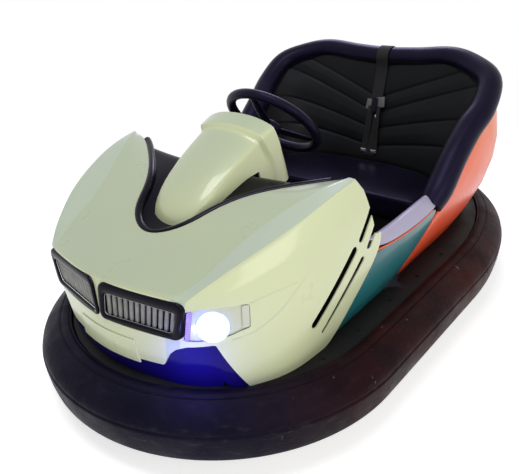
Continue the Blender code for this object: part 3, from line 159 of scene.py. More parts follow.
# How far the insert reaches behind the intake's edge
INTAKE_REACH = 0.009
CHIN_PLATE = metres(((-106, 352.5), (106, 352.5), (114, 284), (-114, 284)))
LAMP_POCKET = metres((
    (256, 466), (290, 474.5), (363, 475), (364, 411), (350, 406), (333, 396), (304, 388.5), (270, 383.5),
    (242.5, 383.5),
))
POCKET_DEPTH = 0.0040
# The gap between the bezel and the shell
BEZEL_FIT = 0.0004
# Where tools that cut the nose start and end, and how far others reach to the sides
NOSE_FRONT, NOSE_BACK, GRILLE_BACK = -1.0, -0.60, -0.80
SIDE_REACH = 0.7
LAMP_GAP = 0.0006
BONNET_WALL = 0.0030

# Dash: from the cockpit's edge forward, each row from the middle outwards
DASH_ROWS = metres((
    ((0, -389, 500), (130, -389, 520), (270, -390, 540), (350, -390, 560)),
    ((0, -395, 632), (130, -395, 640), (270, -396, 648), (352, -396, 664)),
    ((0, -448, 628), (120, -448, 634), (220, -448, 638), (283, -448, 637.5)),
    ((0, -522, 594), (100, -522, 602), (155, -522, 612), (194, -522, 621.5)),
    ((0, -600, 555), (80, -600, 563), (112, -600, 578), (134, -600, 594.5)),
    ((0, -680, 527), (60, -680, 534), (85, -680, 549), (102, -680, 562.5)),
    ((0, -730, 522), (30, -730, 523), (60, -730, 527), (85, -725, 533)),
))
# Cowl: from its tip up and back to the mouth, each row from the middle outwards
COWL_ROWS = metres((
    ((0, -652, 490), (36, -649, 490), (64, -641, 490), (75, -633, 490), (80, -626, 490)),
    ((0, -646, 552), (36, -643, 552), (62, -636, 553), (73, -628, 545), (78, -621, 511)),
    ((0, -630, 582), (50, -626, 584), (80, -614, 582), (92, -603, 566), (97, -596, 524)),
    ((0, -580, 634), (52, -576, 635), (90, -562, 629), (104, -554, 606), (109, -549, 550)),
    ((0, -480, 694), (62, -478, 692), (103, -466, 680), (118, -453, 640), (123, -446, 565)),
    ((0, -390, 740), (64, -389, 737), (106, -382, 720), (121, -354, 653), (127, -340, 575)),
    ((0, -386, 758), (70, -385, 754), (118, -376, 735), (136, -346, 656), (141, -331, 575)),
    ((0, -334, 779), (73, -334, 774), (122, -326, 752), (141, -300, 671), (145, -284, 592)),
    ((0, -330, 760), (64, -330, 756), (108, -322, 738), (124, -300, 668), (128, -286, 594)),
))
# Sill cap: from the cockpit over the top to the outside, each row from front to back
SILL_ROWS = metres((
    ((385, -290, 385), (385, -200, 385), (385, -100, 388), (387, 0, 394), (388, 75, 398)),
    ((396, -290, 456), (394, -200, 452), (392, -100, 450), (393, 0, 456), (396, 68, 462)),
    ((424, -296, 466), (421, -200, 460), (417, -100, 459), (417, 0, 465), (418, 75, 469)),
    ((447, -300, 452), (449, -200, 438), (448, -100, 432), (446, 0, 434), (442, 105, 440)),
))
# Side panel: from the sill cap down to the hem, each row from front to back
FLANK_ROWS = metres((
    ((445, -318, 444.5), (449, -200, 432.5), (448, -100, 426.5), (446, 0, 428.5), (442, 112, 434)),
    ((430, -366, 390), (441, -250, 385), (445, -130, 380), (446, -40, 382), (443, 45, 388)),
    ((418, -426, 315), (425, -320, 310), (429, -200, 306), (430, -110, 308), (428, -35, 318)),
    ((402, -500, HEM), (402, -400, HEM), (400, -290, HEM), (399, -200, HEM), (398, -125, HEM)),
))
# Seat roll: its left half from front to back, each point with its share of the radius
ROLL_POINTS = (
    (0.420, 0.085, 0.432, 0.85), (0.428, 0.130, 0.478, 1.0), (0.432, 0.205, 0.556, 1.0),
    (0.438, 0.295, 0.630, 1.0), (0.452, 0.372, 0.688, 0.95), (0.434, 0.458, 0.757, 0.9),
    (0.356, 0.512, 0.793, 0.85), (0.258, 0.542, 0.812, 0.8), (0.130, 0.549, 0.801, 0.8),
    (0.000, 0.545, 0.795, 0.8),
)
ROLL_RADIUS = 0.045
# Backrest: from the roll down to the cushion, each row from the front end to the middle
BACK_ROWS = metres((
    ((414, 150, 462), (420, 208, 530), (426, 298, 612), (436, 382, 682), (420, 458, 752), (340, 503, 784),
     (170, 533, 794), (0, 529, 784)),
    ((392, 150, 440), (392, 205, 482), (392, 290, 535), (388, 370, 585), (358, 428, 630), (286, 464, 658),
     (150, 484, 660), (0, 488, 655)),
    ((378, 150, 432), (374, 200, 450), (366, 275, 475), (352, 345, 495), (316, 393, 510), (248, 426, 520),
     (130, 445, 522), (0, 450, 520)),
    ((366, 150, 398), (362, 196, 398), (352, 264, 398), (334, 328, 398), (292, 375, 398), (220, 407, 398),
     (112, 424, 398), (0, 429, 398)),
))
# Right half of the cushion seen from above
CUSHION_HALF = list(metres((
    (352, 110), (356, 190), (345, 262), (326, 325), (285, 372), (218, 402), (112, 419), (0, 424),
)))
CUSHION_BASE = 0.3355
CUSHION_TOP = 0.414

# Seams of the backrest: height at the middle, and how much it rises for each metre outwards
BACK_SEAMS = ((0.648, 0.385), (0.592, 0.365), (0.532, 0.255), (0.466, 0.178))

# Steering
WHEEL_CENTRE = Vector((0, -0.173, 0.711))
COLUMN_TILT = math.radians(47)
COLUMN_AXIS = Vector((0, math.sin(COLUMN_TILT), math.cos(COLUMN_TILT)))
WHEEL_RADIUS = 0.146
WHEEL_TUBE = 0.015
SHAFT_HOLE = 0.0196


def colour_setting(name, description, default):
    """A colour in the sidebar."""
    return bpy.props.FloatVectorProperty(name=name, description=description, subtype="COLOR", size=3, min=0,
                                         max=1, default=default)


def power_setting(name, description, default):
    """A lamp's power in the sidebar."""
    return bpy.props.FloatProperty(name=name, description=description, default=default, min=0, unit="POWER")


class PaintSettings(bpy.types.PropertyGroup):
    """Colours of the moulded body panels."""

    cream: colour_setting("Cream", "Bonnet and cowl", (0.640, 0.690, 0.430))
    # Painted shade: a darker, cooler cream for faces that look up.
    cream_painted_top_shade: colour_setting("Cream tops", "Where the bonnet and cowl face up", (0.440, 0.510, 0.360))
    # Painted reflection: the crest strips' bluish grey stands for the cool light they reflect.
    crest_painted_reflection: colour_setting("Crest", "The flat strips along the bonnet's crests", (0.490, 0.570, 0.450))
    teal: colour_setting("Teal", "Side panels", (0.012, 0.150, 0.170))
    orange: colour_setting("Orange", "Rear shell", (1.000, 0.270, 0.110))
    lilac: colour_setting("Lilac grey", "Sill caps", (0.430, 0.400, 0.550))
    roughness: bpy.props.FloatProperty(
        name="Roughness", description="Roughness under the clear coat", default=0.32, min=0, max=1)


class TrimSettings(bpy.types.PropertyGroup):
    """Sizes of the seat and its cover."""

    seam_depth: bpy.props.FloatProperty(
        name="Seam depth", description="How deep the seams of the backrest are sewn",
        default=0.0030, min=0, max=0.010, unit="LENGTH")
    crown: bpy.props.FloatProperty(
        name="Crown", description="How far the backrest swells between its seams",
        default=0.0040, min=0, max=0.010, unit="LENGTH")
    pressure: bpy.props.FloatProperty(
        name="Filling", description="Pressure in the cushion's cover", default=4.0, min=0, max=10)


class StageSettings(bpy.types.PropertyGroup):
    """Light and floor."""

    key_power: power_setting("Key light", "Power of the large soft light", 48)
    fill_power: power_setting("Fill light", "Power of the light on the driver's left", 34)
    rear_power: power_setting("Rear light", "Power of the violet light behind", 30)
    floor_colour: colour_setting("Floor", "Floor colour", (0.86, 0.86, 0.86))


# Modelling helpers


def deselect():
    """Leaves edit mode and deselects everything."""
    if bpy.context.object and bpy.context.object.mode != "OBJECT":
        bpy.ops.object.mode_set(mode="OBJECT")
    bpy.ops.object.select_all(action="DESELECT")


def pick(piece):
    """Makes one piece the selected and active one."""
    deselect()
    piece.select_set(True)
    bpy.context.view_layer.objects.active = piece


def baked(piece):
    """Moves a piece's place, turn and scale into its mesh."""
    pick(piece)
    bpy.ops.object.transform_apply(location=True, rotation=True, scale=True)
    return piece


def pose_at(place, aim):
    """The pose of something that stands at a place with its Z axis along an aim."""
    return Matrix.Translation(place) @ Vector(aim).to_track_quat("Z", "Y").to_matrix().to_4x4()


def shape(piece, kind, **values):
    """Adds a modifier with these values and applies it."""
    pick(piece)
    modifier = piece.modifiers.new(kind.title(), kind)
    for name, value in values.items():
        setattr(modifier, name, value)
    bpy.ops.object.modifier_apply(modifier=modifier.name)
    return piece


def rounded(piece, levels):
    """Rounds a cage by subdivision."""
    return shape(piece, "SUBSURF", levels=levels, render_levels=levels)


def bevelled(piece, width, segments, angle):
    """Rounds the sharp edges."""
    return shape(piece, "BEVEL", width=width, segments=segments, limit_method="ANGLE",
                 angle_limit=math.radians(angle), harden_normals=False)


def cut(piece, tool, operation="DIFFERENCE"):
    """Cuts the piece with a tool, which is removed."""
    shape(piece, "BOOLEAN", object=tool, operation=operation, solver="EXACT")
    bpy.data.objects.remove(tool, do_unlink=True)
    return piece


def edit_all(piece, step):
    """Runs a mesh operator on the whole piece in edit mode."""
    pick(piece)
    bpy.ops.object.mode_set(mode="EDIT")
    bpy.ops.mesh.select_all(action="SELECT")
    step()
    bpy.ops.object.mode_set(mode="OBJECT")
    return piece


def merged(piece, distance=0.00005):
    """Joins points that lie together."""
    return edit_all(piece, lambda: bpy.ops.mesh.remove_doubles(threshold=distance))


def closed_outwards(piece):
    """Turns every face of a closed piece outwards."""
    return edit_all(piece, lambda: bpy.ops.mesh.normals_make_consistent(inside=False))


def sheet_outwards(piece, inside):
    """Turns an open sheet's outside away from a point."""
    inside = Vector(inside)
    total = sum((face.center - inside).dot(face.normal) * face.area for face in piece.data.polygons)
    if total < 0:
        edit_all(piece, lambda: bpy.ops.mesh.flip_normals())
    return piece


def mesh_grid(name, rows):
    """A grid of faces whose points are moved to the rows' points. Also gives each point's row and column."""
    deselect()
    high, wide = len(rows), len(rows[0])
    bpy.ops.mesh.primitive_grid_add(x_subdivisions=wide - 1, y_subdivisions=high - 1, size=2)
    piece = bpy.context.object
    piece.name = name
    places = {}
    for point in piece.data.vertices:
        column = round((point.co.x + 1) / 2 * (wide - 1))
        row = round((point.co.y + 1) / 2 * (high - 1))
        places[point.index] = (row, column)
    for index, (row, column) in places.items():
        piece.data.vertices[index].co = rows[row][column]
    return piece, places


# Folds run from the first column of points to this one
FOLDED_COLUMNS = 4


def moulding(name, rows, inside, mirrored=True, levels=3, creases=(), folds=(), marked=None):
    """A smooth moulded sheet through rows of points.

    creases lists (column, weight) and folds (row, weight) of the lines that keep an edge. The faces after
    the marked column get the second material.
    """
    piece, places = mesh_grid(name, rows)
    if marked is not None:
        piece.data.materials.append(None)
        piece.data.materials.append(None)
        for face in piece.data.polygons:
            face.material_index = int(min(places[i][1] for i in face.vertices) == marked)
    sharp = piece.data.attributes.new("crease_edge", "FLOAT", "EDGE")
    column_weight, row_weight = dict(creases), dict(folds)
    for edge in piece.data.edges:
        (row, column_a), (_, column_b) = (places[i] for i in edge.vertices)
        if column_a == column_b:
            sharp.data[edge.index].value = column_weight.get(column_a, 0)
        elif max(column_a, column_b) < FOLDED_COLUMNS:
            sharp.data[edge.index].value = row_weight.get(row, 0)
    if mirrored:
        shape(piece, "MIRROR", merge_threshold=0.0002)
    rounded(piece, levels)
    return sheet_outwards(piece, inside)


def walled(piece, thickness, even=True):
    """Gives a sheet its wall, inwards from the outside."""
    return shape(piece, "SOLIDIFY", thickness=thickness, offset=-1, use_even_offset=even)


def prism(name, outline, low, high, axis="Y"):
    """A solid with a flat outline: (x, z) along Y, or (y, z) along X."""
    deselect()
    bpy.ops.mesh.primitive_circle_add(vertices=len(outline), radius=1, fill_type="NGON")
    piece = bpy.context.object
    piece.name = name
    for point, (a, b) in zip(piece.data.vertices, outline):
        point.co = (a, low, b) if axis == "Y" else (low, a, b)
    step = (0, high - low, 0) if axis == "Y" else (high - low, 0, 0)
    edit_all(piece, lambda: bpy.ops.mesh.extrude_region_move(TRANSFORM_OT_translate={"value": step}))
    return closed_outwards(piece)


def looped(name, loops, capped=False):
    """Closed loops of points joined in order into a band, whose ends may be closed by faces."""
    piece, _ = mesh_grid(name, [list(loop) + [loop[0]] for loop in loops])
    merged(piece)
    if capped:
        edit_all(piece, lambda: bpy.ops.mesh.fill_holes(sides=0))
    return closed_outwards(piece)


def pipe(name, path, radius, sides, sizes=None, closed=False):
    """A round bar along a path, with closed ends. sizes scales the radius at each point."""
    deselect()
    curve = bpy.data.curves.new(name, "CURVE")
    curve.dimensions = "3D"
    curve.bevel_depth = radius
    curve.bevel_resolution = sides // 2 - 2
    curve.use_fill_caps = not closed
    spline = curve.splines.new("POLY")
    spline.points.add(len(path) - 1)
    for i, (point, place) in enumerate(zip(spline.points, path)):
        point.co = (*place, 1)
        point.radius = sizes[i] if sizes else 1
    spline.use_cyclic_u = closed
    piece = bpy.data.objects.new(name, curve)
    bpy.context.scene.collection.objects.link(piece)
    pick(piece)
    bpy.ops.object.convert(target="MESH")
    piece = bpy.context.object
    merged(piece)
    return closed_outwards(piece)


def joined(name, pieces):
    """Several meshes made one."""
    deselect()
    for piece in pieces:
        piece.select_set(True)
    bpy.context.view_layer.objects.active = pieces[0]
    bpy.ops.object.join()
    pieces[0].name = name
    return pieces[0]


# Cloth settings of the cushion's cover
CLOTH = {
    "quality": 6, "mass": 0.3, "tension_stiffness": 30, "compression_stiffness": 30, "shear_stiffness": 12,
    "bending_stiffness": 4, "use_pressure": True,
}


def stuffed(piece, pinned, pressure, frames=20, voxel=0.006):
    """Blows up a closed cover as cloth, with some points held, and keeps the shape it comes to."""
    shape(piece, "REMESH", mode="VOXEL", voxel_size=voxel)
    held = piece.vertex_groups.new(name="held")
    held.add([point.index for point in piece.data.vertices if pinned(point.co)], 1.0, "REPLACE")
    pick(piece)
    cloth = piece.modifiers.new("Cover", "CLOTH")
    for key, value in CLOTH.items():
        setattr(cloth.settings, key, value)
    cloth.settings.uniform_pressure_force = pressure
    cloth.settings.vertex_group_mass = held.name
    cloth.settings.effector_weights.gravity = 0
    cloth.point_cache.frame_start = 1
    cloth.point_cache.frame_end = frames
    for frame in range(1, frames + 1):
        bpy.context.scene.frame_set(frame)
    bpy.ops.object.modifier_apply(modifier=cloth.name)
    bpy.context.scene.frame_set(1)
    piece.vertex_groups.clear()
    return rounded(piece, 1)


def settled(piece, material, stands_for=(), angle=35, body="chassis", second=None):
    """Finishes a piece: its place goes into its mesh, it is shaded, painted and put on its body."""
    baked(piece)
    piece.data.name = piece.name
    bpy.ops.object.shade_smooth_by_angle(angle=math.radians(angle))
    marks = [face.material_index for face in piece.data.polygons]
    piece.data.materials.clear()
    piece.data.materials.append(material)
    if second:
        piece.data.materials.append(second)
        piece.data.polygons.foreach_set("material_index", marks)
    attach(piece, body)
    if stands_for:
        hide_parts(*stands_for)
    return piece


def flipped(points, side):
    """The points, or with a side of -1 their mirror images."""
    return [(side * p[0], *p[1:]) for p in points]


def smooth_path(points, spans):
    """A smooth curve through points of any dimension, as Catmull-Rom spans."""
    points = [Vector(p) for p in points]
    ends = [2 * points[0] - points[1]] + points + [2 * points[-1] - points[-2]]
    out = []
    for a, b, c, d in zip(ends, ends[1:], ends[2:], ends[3:]):
        for i in range(spans):
            t = i / spans
            bend = (2 * a - 5 * b + 4 * c - d) * t * t + (3 * b - a - 3 * c + d) * t * t * t
            out.append(0.5 * (2 * b + (c - a) * t + bend))
    out.append(points[-1])
    return out


def plan_outline(inset, steps=72, straight=10):
    """The bumper's outline seen from above, moved inwards."""
    points = []
    for i in range(steps):
        angle = math.pi * i / steps
        normal = Vector((math.cos(angle) / HALF_WIDTH, math.sin(angle) / REAR_ARC_LENGTH)).normalized()
        points.append((HALF_WIDTH * math.cos(angle) - inset * normal.x,
                       REAR_ARC_Y + REAR_ARC_LENGTH * math.sin(angle) - inset * normal.y))
    run, reach = FRONT_ARC_Y - REAR_ARC_Y, HALF_WIDTH - inset
    points += [(-reach, REAR_ARC_Y + run * i / straight) for i in range(straight)]
    for i in range(steps):
        angle = math.pi + math.pi * i / steps
        points.append((reach * math.cos(angle), FRONT_ARC_Y + reach * math.sin(angle)))
    return points + [(reach, FRONT_ARC_Y - run * i / straight) for i in range(straight)]


def round_corners(corners, radius, steps):
    """A closed outline of corners with round ones."""
    out = []
    for before, here, after in zip(corners[-1:] + corners[:-1], corners, corners[1:] + corners[:1]):
        here = Vector(here)
        before = Vector(before) - here
        after = Vector(after) - here
        reach = min(radius, before.length * 0.45, after.length * 0.45)
        start = here + before.normalized() * reach
        end = here + after.normalized() * reach
        for k in range(steps + 1):
            t = k / steps
            out.append(tuple(start * (1 - t) ** 2 + here * 2 * t * (1 - t) + end * t ** 2))
    return out


def moved_in(outline, inset):
    """A closed (a, b) outline moved inwards, for an outline that runs either way round."""
    nexts = outline[1:] + outline[:1]
    area = sum(a[0] * b[1] - b[0] * a[1] for a, b in zip(outline, nexts))
    turn = 1 if area > 0 else -1
    out = []
    for before, here, after in zip(outline[-1:] + outline[:-1], outline, nexts):
        along = (Vector(after) - Vector(before)).normalized()
        out.append(tuple(Vector(here) + Vector((-along.y, along.x)) * turn * inset))
    return out


# Materials


class Nodes:
    """A node tree being built."""

    def __init__(self, tree):
        self.tree = tree
        tree.nodes.clear()

    def node(self, kind, inputs, **settings):
        new = self.tree.nodes.new(kind)
        for key, value in settings.items():
            setattr(new, key, value)
        for key, value in inputs.items():
            self.set(new.inputs[key], value)
        return new

    def set(self, socket, value):
        """Links a socket or sets its value; three numbers are enough for a colour."""
        if isinstance(value, bpy.types.NodeSocket):
            self.tree.links.new(value, socket)
        elif socket.type == "RGBA":
            socket.default_value = (*value[:3], 1)
        else:
            socket.default_value = value

    def sums(self, operation, a, b):
        return self.node("ShaderNodeMath", {0: a, 1: b}, operation=operation).outputs[0]


class Finish(Nodes):
    """One node material being built."""

    def __init__(self, name):
        self.material = bpy.data.materials.get(name) or bpy.data.materials.new(name)
        self.material.use_nodes = True
        super().__init__(self.material.node_tree)
        self.surface = self.tree.nodes.new("ShaderNodeBsdfPrincipled")
        self.output = self.node("ShaderNodeOutputMaterial", {"Surface": self.surface.outputs["BSDF"]})
        self.place = self.tree.nodes.new("ShaderNodeTexCoord").outputs["Object"]

    def stretched(self, x, y, z):
        return self.node("ShaderNodeMapping", {"Vector": self.place, "Scale": (x, y, z)}).outputs[0]

    def noise(self, scale, detail, roughness=0.5, vector=None):
        inputs = {"Vector": vector or self.place, "Scale": scale, "Detail": detail, "Roughness": roughness}
        return self.node("ShaderNodeTexNoise", inputs).outputs["Fac"]

    def cells(self, scale):
        return self.node("ShaderNodeTexVoronoi", {"Vector": self.place, "Scale": scale}).outputs["Distance"]

    def ribs(self, scale, axis, distortion=0.0):
        inputs = {"Vector": self.place, "Scale": scale, "Distortion": distortion}
        return self.node("ShaderNodeTexWave", inputs, bands_direction=axis).outputs["Fac"]

    def span(self, value, low, high, start=0.0, end=1.0):
        """Maps low...high to start...end."""
        inputs = {"Value": value, "From Min": low, "From Max": high, "To Min": start, "To Max": end}
        return self.node("ShaderNodeMapRange", inputs).outputs[0]

    def times(self, a, b):
        return self.sums("MULTIPLY", a, b)

    def size(self, value):
        return self.sums("ABSOLUTE", value, 0.0)

    def blend(self, amount, first, second):
        inputs = {"Factor": amount, 6: first, 7: second}
        return self.node("ShaderNodeMix", inputs, data_type="RGBA").outputs[2]

    def part(self, axis):
        return self.node("ShaderNodeSeparateXYZ", {0: self.place}).outputs[axis]

    def relief(self, height, strength, distance):
        bump = self.node("ShaderNodeBump", {"Height": height, "Strength": strength, "Distance": distance})
        self.set(self.surface.inputs["Normal"], bump.outputs[0])

    def put(self, **values):
        """Sets or links sockets of the surface; an underscore in a name stands for a space."""
        for key, value in values.items():
            self.set(self.surface.inputs[key.replace("_", " ")], value)
        return self.material


def shade(colour, factor):
    """A colour made darker or lighter."""
    return tuple(min(1.0, c * factor) for c in colour[:3])


def gelcoat(name, colour, roughness, low=None, heights=(0.24, 0.80), coat=0.6, painted_top_shade=None):
    """Moulded and polished plastic with a clear coat and thin dust.

    low is the colour near the floor, and the last argument a darker colour painted as shade on faces that
    look up, where they differ.
    """
    f = Finish(name)
    base = colour
    if painted_top_shade is not None:
        # Painted shade: faces that look up are blended towards the darker top colour.
        facing = f.node("ShaderNodeNewGeometry", {}).outputs["Normal"]
        level = f.node("ShaderNodeSeparateXYZ", {0: facing}).outputs[2]
        base = f.blend(f.span(level, 0.50, 0.96), colour, painted_top_shade)
    if low is not None:
        base = f.blend(f.span(f.part("Z"), *heights), low, colour)
    patches = f.span(f.noise(2.6, 4), 0.35, 0.70, 0.0, 0.16)
    tone = f.blend(patches, base, shade(colour, 0.86))
    dust = f.span(f.noise(160, 3, 0.7), 0.62, 0.78, 0.0, 0.08)
    tone = f.blend(dust, tone, (0.62, 0.62, 0.58))
    rough = f.span(f.noise(9, 5, 0.6), 0.30, 0.75, roughness * 0.8, roughness * 1.35)
    f.relief(f.noise(190, 2), 0.03, 0.0015)
    return f.put(Base_Color=tone, Roughness=rough, Coat_Weight=coat, Coat_Roughness=0.10, Coat_IOR=1.5,
                 Specular_IOR_Level=0.30)


def rubber():
    """Old bumper rubber: near black and scuffed where cars meet it, with painted blue light in front and
    painted red-brown light on its +X side.
    """
    f = Finish("Worn rubber")
    band = f.span(f.part("Z"), 0.205, 0.165)
    # Painted light: blue light over the front and red-brown light over the +X side, mixed into both the dark
    # rubber and its worn patches.
    front = f.span(f.part("Y"), -0.35, -0.85)
    side = f.span(f.part("X"), 0.20, 0.55)
    clouds = f.span(f.noise(6, 6, 0.65), 0.36, 0.70)
    right = f.times(side, f.span(front, 1, 0))
    dark = f.blend(front, (0.0034, 0.0022, 0.0024), (0.0028, 0.0022, 0.0085))
    dark = f.blend(right, dark, (0.0075, 0.0014, 0.0014))
    worn = f.blend(front, (0.0120, 0.0065, 0.0060), (0.0065, 0.0062, 0.0160))
    worn = f.blend(right, worn, (0.0340, 0.0060, 0.0040))
    tone = f.blend(clouds, dark, worn)
    rubs = f.span(f.noise(17, 7, 0.72, f.stretched(1, 1, 3.5)), 0.54, 0.70)
    rubs = f.times(rubs, f.span(band, 0, 1, 0.20, 0.75))
    tone = f.blend(rubs, tone, (0.036, 0.032, 0.036))
    nicks = f.span(f.noise(38, 3, 0.6, f.stretched(1, 1, 0.6)), 0.715, 0.75)
    tone = f.blend(f.times(nicks, 0.6), tone, (0.17, 0.16, 0.16))
    rough = f.span(f.noise(11, 5, 0.6), 0.3, 0.7, 0.34, 0.60)
    grain = f.sums("ADD", f.noise(230, 3, 0.6), f.times(f.noise(28, 6, 0.7), 1.4))
    f.relief(grain, 0.42, 0.0025)
    # The violet reflection tint is painted violet light in the rubber's reflections.
    return f.put(Base_Color=tone, Roughness=rough, IOR=1.15, Specular_Tint=(0.84, 0.76, 1.0))


def vinyl(name="Black vinyl", tint=(0.0036, 0.0032, 0.0090), painted_gleam_tint=(0.58, 0.46, 1.0), seams=(),
          matt=0.0):
    """Black upholstery vinyl with a pebbled grain; seams lists the lines it is sewn along. Its default blue
    tint and violet reflection tint are painted violet light, not the vinyl's own colour.
    """
    f = Finish(name)
    worn = f.span(f.noise(5, 5, 0.6), 0.40, 0.72)
    tone = f.blend(worn, tint, shade(tint, 1.9))
    rough = f.span(f.noise(8, 4), 0.3, 0.7, 0.27 + matt, 0.41 + matt)
    height = f.sums("ADD", f.cells(420), f.times(f.noise(90, 4), 0.8))
    side = f.size(f.part("X"))
    for low, rise in seams:
        line = f.sums("ADD", f.times(side, rise), low)
        away = f.size(f.sums("SUBTRACT", f.part("Z"), line))
        sewn = f.span(away, 0.0032, 0.0012)
        tone = f.blend(sewn, tone, (0.0008, 0.0008, 0.0010))
        height = f.sums("SUBTRACT", height, f.times(sewn, 3.0))
    f.relief(height, 0.14, 0.0010)
    # The reflection tint is painted light: it colours reflections like the lamps that light the seat.
    return f.put(Base_Color=tone, Roughness=rough, IOR=1.24, Specular_Tint=painted_gleam_tint)


def webbing():
    """Woven strap."""
    f = Finish("Webbing")
    weave = f.times(f.ribs(95, "Z", 0.4), f.ribs(150, "X", 0.3))
    tone = f.blend(weave, (0.0035, 0.0035, 0.0045), (0.013, 0.0125, 0.015))
    f.relief(weave, 0.5, 0.0008)
    return f.put(Base_Color=tone, Roughness=0.62, IOR=1.3)


def gloss_black(name="Gloss black", tint=(0.0030, 0.0026, 0.0048)):
    """Piano black with fine dust."""
    f = Finish(name)
    dust = f.span(f.noise(170, 4, 0.7), 0.60, 0.80, 0.0, 0.05)
    tone = f.blend(dust, tint, (0.30, 0.29, 0.30))
    rough = f.span(f.noise(14, 5, 0.6), 0.35, 0.75, 0.07, 0.18)
    f.relief(f.noise(160, 2), 0.02, 0.001)
    # The violet reflection tint is painted violet light in the gloss's reflections.
    return f.put(Base_Color=tone, Roughness=rough, IOR=1.22, Specular_Tint=(0.72, 0.66, 1.0))


def satin_steel():
    """Painted steel, rubbed to the metal here and there."""
    f = Finish("Black steel")
    chips = f.span(f.noise(30, 7, 0.7), 0.66, 0.71)
    tone = f.blend(f.times(chips, 0.8), (0.008, 0.008, 0.009), (0.16, 0.14, 0.13))
    tone = f.blend(f.span(f.noise(6, 5), 0.4, 0.75, 0, 0.5), tone, (0.026, 0.020, 0.017))
    f.relief(f.noise(150, 3), 0.12, 0.0015)
    rough = f.span(f.noise(12, 4), 0.3, 0.7, 0.38, 0.60)
    return f.put(Base_Color=tone, Roughness=rough, Specular_IOR_Level=0.10)


def brushed_steel(name="Brushed steel", tint=(0.42, 0.42, 0.43), shine=0.30):
    """Bare steel with brush lines and a little tarnish."""
    f = Finish(name)
    lines = f.noise(60, 4, 0.6, f.stretched(1, 14, 1))
    tone = f.blend(f.span(f.noise(7, 5), 0.35, 0.75, 0, 0.6), tint, shade(tint, 0.55))
    f.relief(lines, 0.10, 0.0008)
    rough = f.span(lines, 0.3, 0.7, shine * 0.8, shine * 1.4)
    return f.put(Base_Color=tone, Metallic=1.0, Roughness=rough)


def slat_paint():
    """Dull silver paint."""
    f = Finish("Slat silver")
    tone = f.blend(f.span(f.noise(40, 4), 0.3, 0.7), (0.22, 0.22, 0.20), (0.31, 0.31, 0.285))
    f.relief(f.noise(180, 3), 0.08, 0.001)
    rough = f.span(f.noise(30, 3), 0.3, 0.7, 0.30, 0.48)
    return f.put(Base_Color=tone, Specular_IOR_Level=0.3, Roughness=rough)


def reflector():
    """Fluted mirror metal that the lamp lights up; the lamp's light in it is painted on as a blue glow."""
    f = Finish("Lamp reflector")
    flutes = f.noise(55, 2)
    tone = f.blend(f.span(flutes, 0.35, 0.7), (0.75, 0.80, 0.95), (0.90, 0.93, 1.0))
    f.relief(flutes, 0.2, 0.002)
    return f.put(Base_Color=tone, Metallic=1.0, Roughness=0.12, Emission_Color=(0.25, 0.38, 1.0),
                 Emission_Strength=0.9)


def lamp_tray_finish():
    """Silvered plastic with a painted pool of the lamp's blue light: bluer and glowing next to the lamp,
    fading away from it.
    """
    f = Finish("Lamp tray")
    place = f.node("ShaderNodeVectorMath", {0: f.place}, operation="ABSOLUTE").outputs[0]
    middle = (LAMP_PLACE.x, abs(LAMP_PLACE.y), LAMP_PLACE.z)
    away = f.node("ShaderNodeVectorMath", {0: place, 1: middle}, operation="DISTANCE").outputs["Value"]
    inner = f.span(f.size(f.part("X")), 0.315, 0.285)
    # Painted light: a pool of the lamp's light, bluer and glowing near the lamp.
    near = f.times(f.span(away, 0.066, 0.040), f.sums("ADD", f.times(inner, 0.8), 0.2))
    tone = f.blend(near, (0.54, 0.57, 0.43), (0.42, 0.46, 0.72))
    f.relief(f.noise(60, 3), 0.10, 0.002)
    glow = f.blend(near, (0.0, 0.0, 0.0), (0.16, 0.20, 0.46))
    return f.put(Base_Color=tone, Metallic=0.25, Roughness=0.22, Emission_Color=glow, Emission_Strength=1.0)


def violet_glow():
    """A lit violet strip."""
    f = Finish("Violet strip")
    ribs = f.ribs(60, "Z")
    tone = f.blend(ribs, (0.16, 0.10, 0.70), (0.32, 0.24, 0.95))
    f.relief(ribs, 0.2, 0.001)
    return f.put(Base_Color=tone, Roughness=0.15, Coat_Weight=0.5, Emission_Color=(0.30, 0.20, 1.0),
                 Emission_Strength=0.55)


def lamp_glass():
    """A lit lens: white in the middle, blue at its edge."""
    f = Finish("Lamp glass")
    facets = f.cells(85)
    glow = f.blend(f.span(facets, 0.0, 0.6), (0.82, 0.90, 1.0), (0.55, 0.70, 1.0))
    f.relief(facets, 0.4, 0.003)
    return f.put(Base_Color=(0.9, 0.95, 1.0), Roughness=0.06, Coat_Weight=0.5, Emission_Color=glow,
                 Emission_Strength=3.2)


def marker_lens():
    """Pale ribbed lens."""
    f = Finish("Marker lens")
    ribs = f.ribs(110, "Z")
    tone = f.blend(ribs, (0.52, 0.55, 0.44), (0.60, 0.63, 0.52))
    f.relief(ribs, 0.3, 0.001)
    return f.put(Base_Color=tone, Roughness=0.16, Coat_Weight=0.6, Coat_Roughness=0.05)


def case_plastic(name="Battery case", tint=(0.020, 0.022, 0.026), worn=(0.050, 0.050, 0.052)):
    f = Finish(name)
    tone = f.blend(f.span(f.noise(8, 5), 0.35, 0.7), tint, worn)
    f.relief(f.noise(120, 4), 0.2, 0.0015)
    return f.put(Base_Color=tone, Roughness=f.span(f.noise(10, 3), 0.3, 0.7, 0.42, 0.6))


def carpet():
    """Ribbed rubber mat."""
    f = Finish("Ribbed floor mat")
    ribs = f.ribs(28, "X")
    tone = f.blend(ribs, (0.012, 0.012, 0.013), (0.035, 0.034, 0.034))
    f.relief(f.sums("ADD", ribs, f.times(f.noise(200, 3), 0.3)), 0.6, 0.0025)
    return f.put(Base_Color=tone, Roughness=0.66)


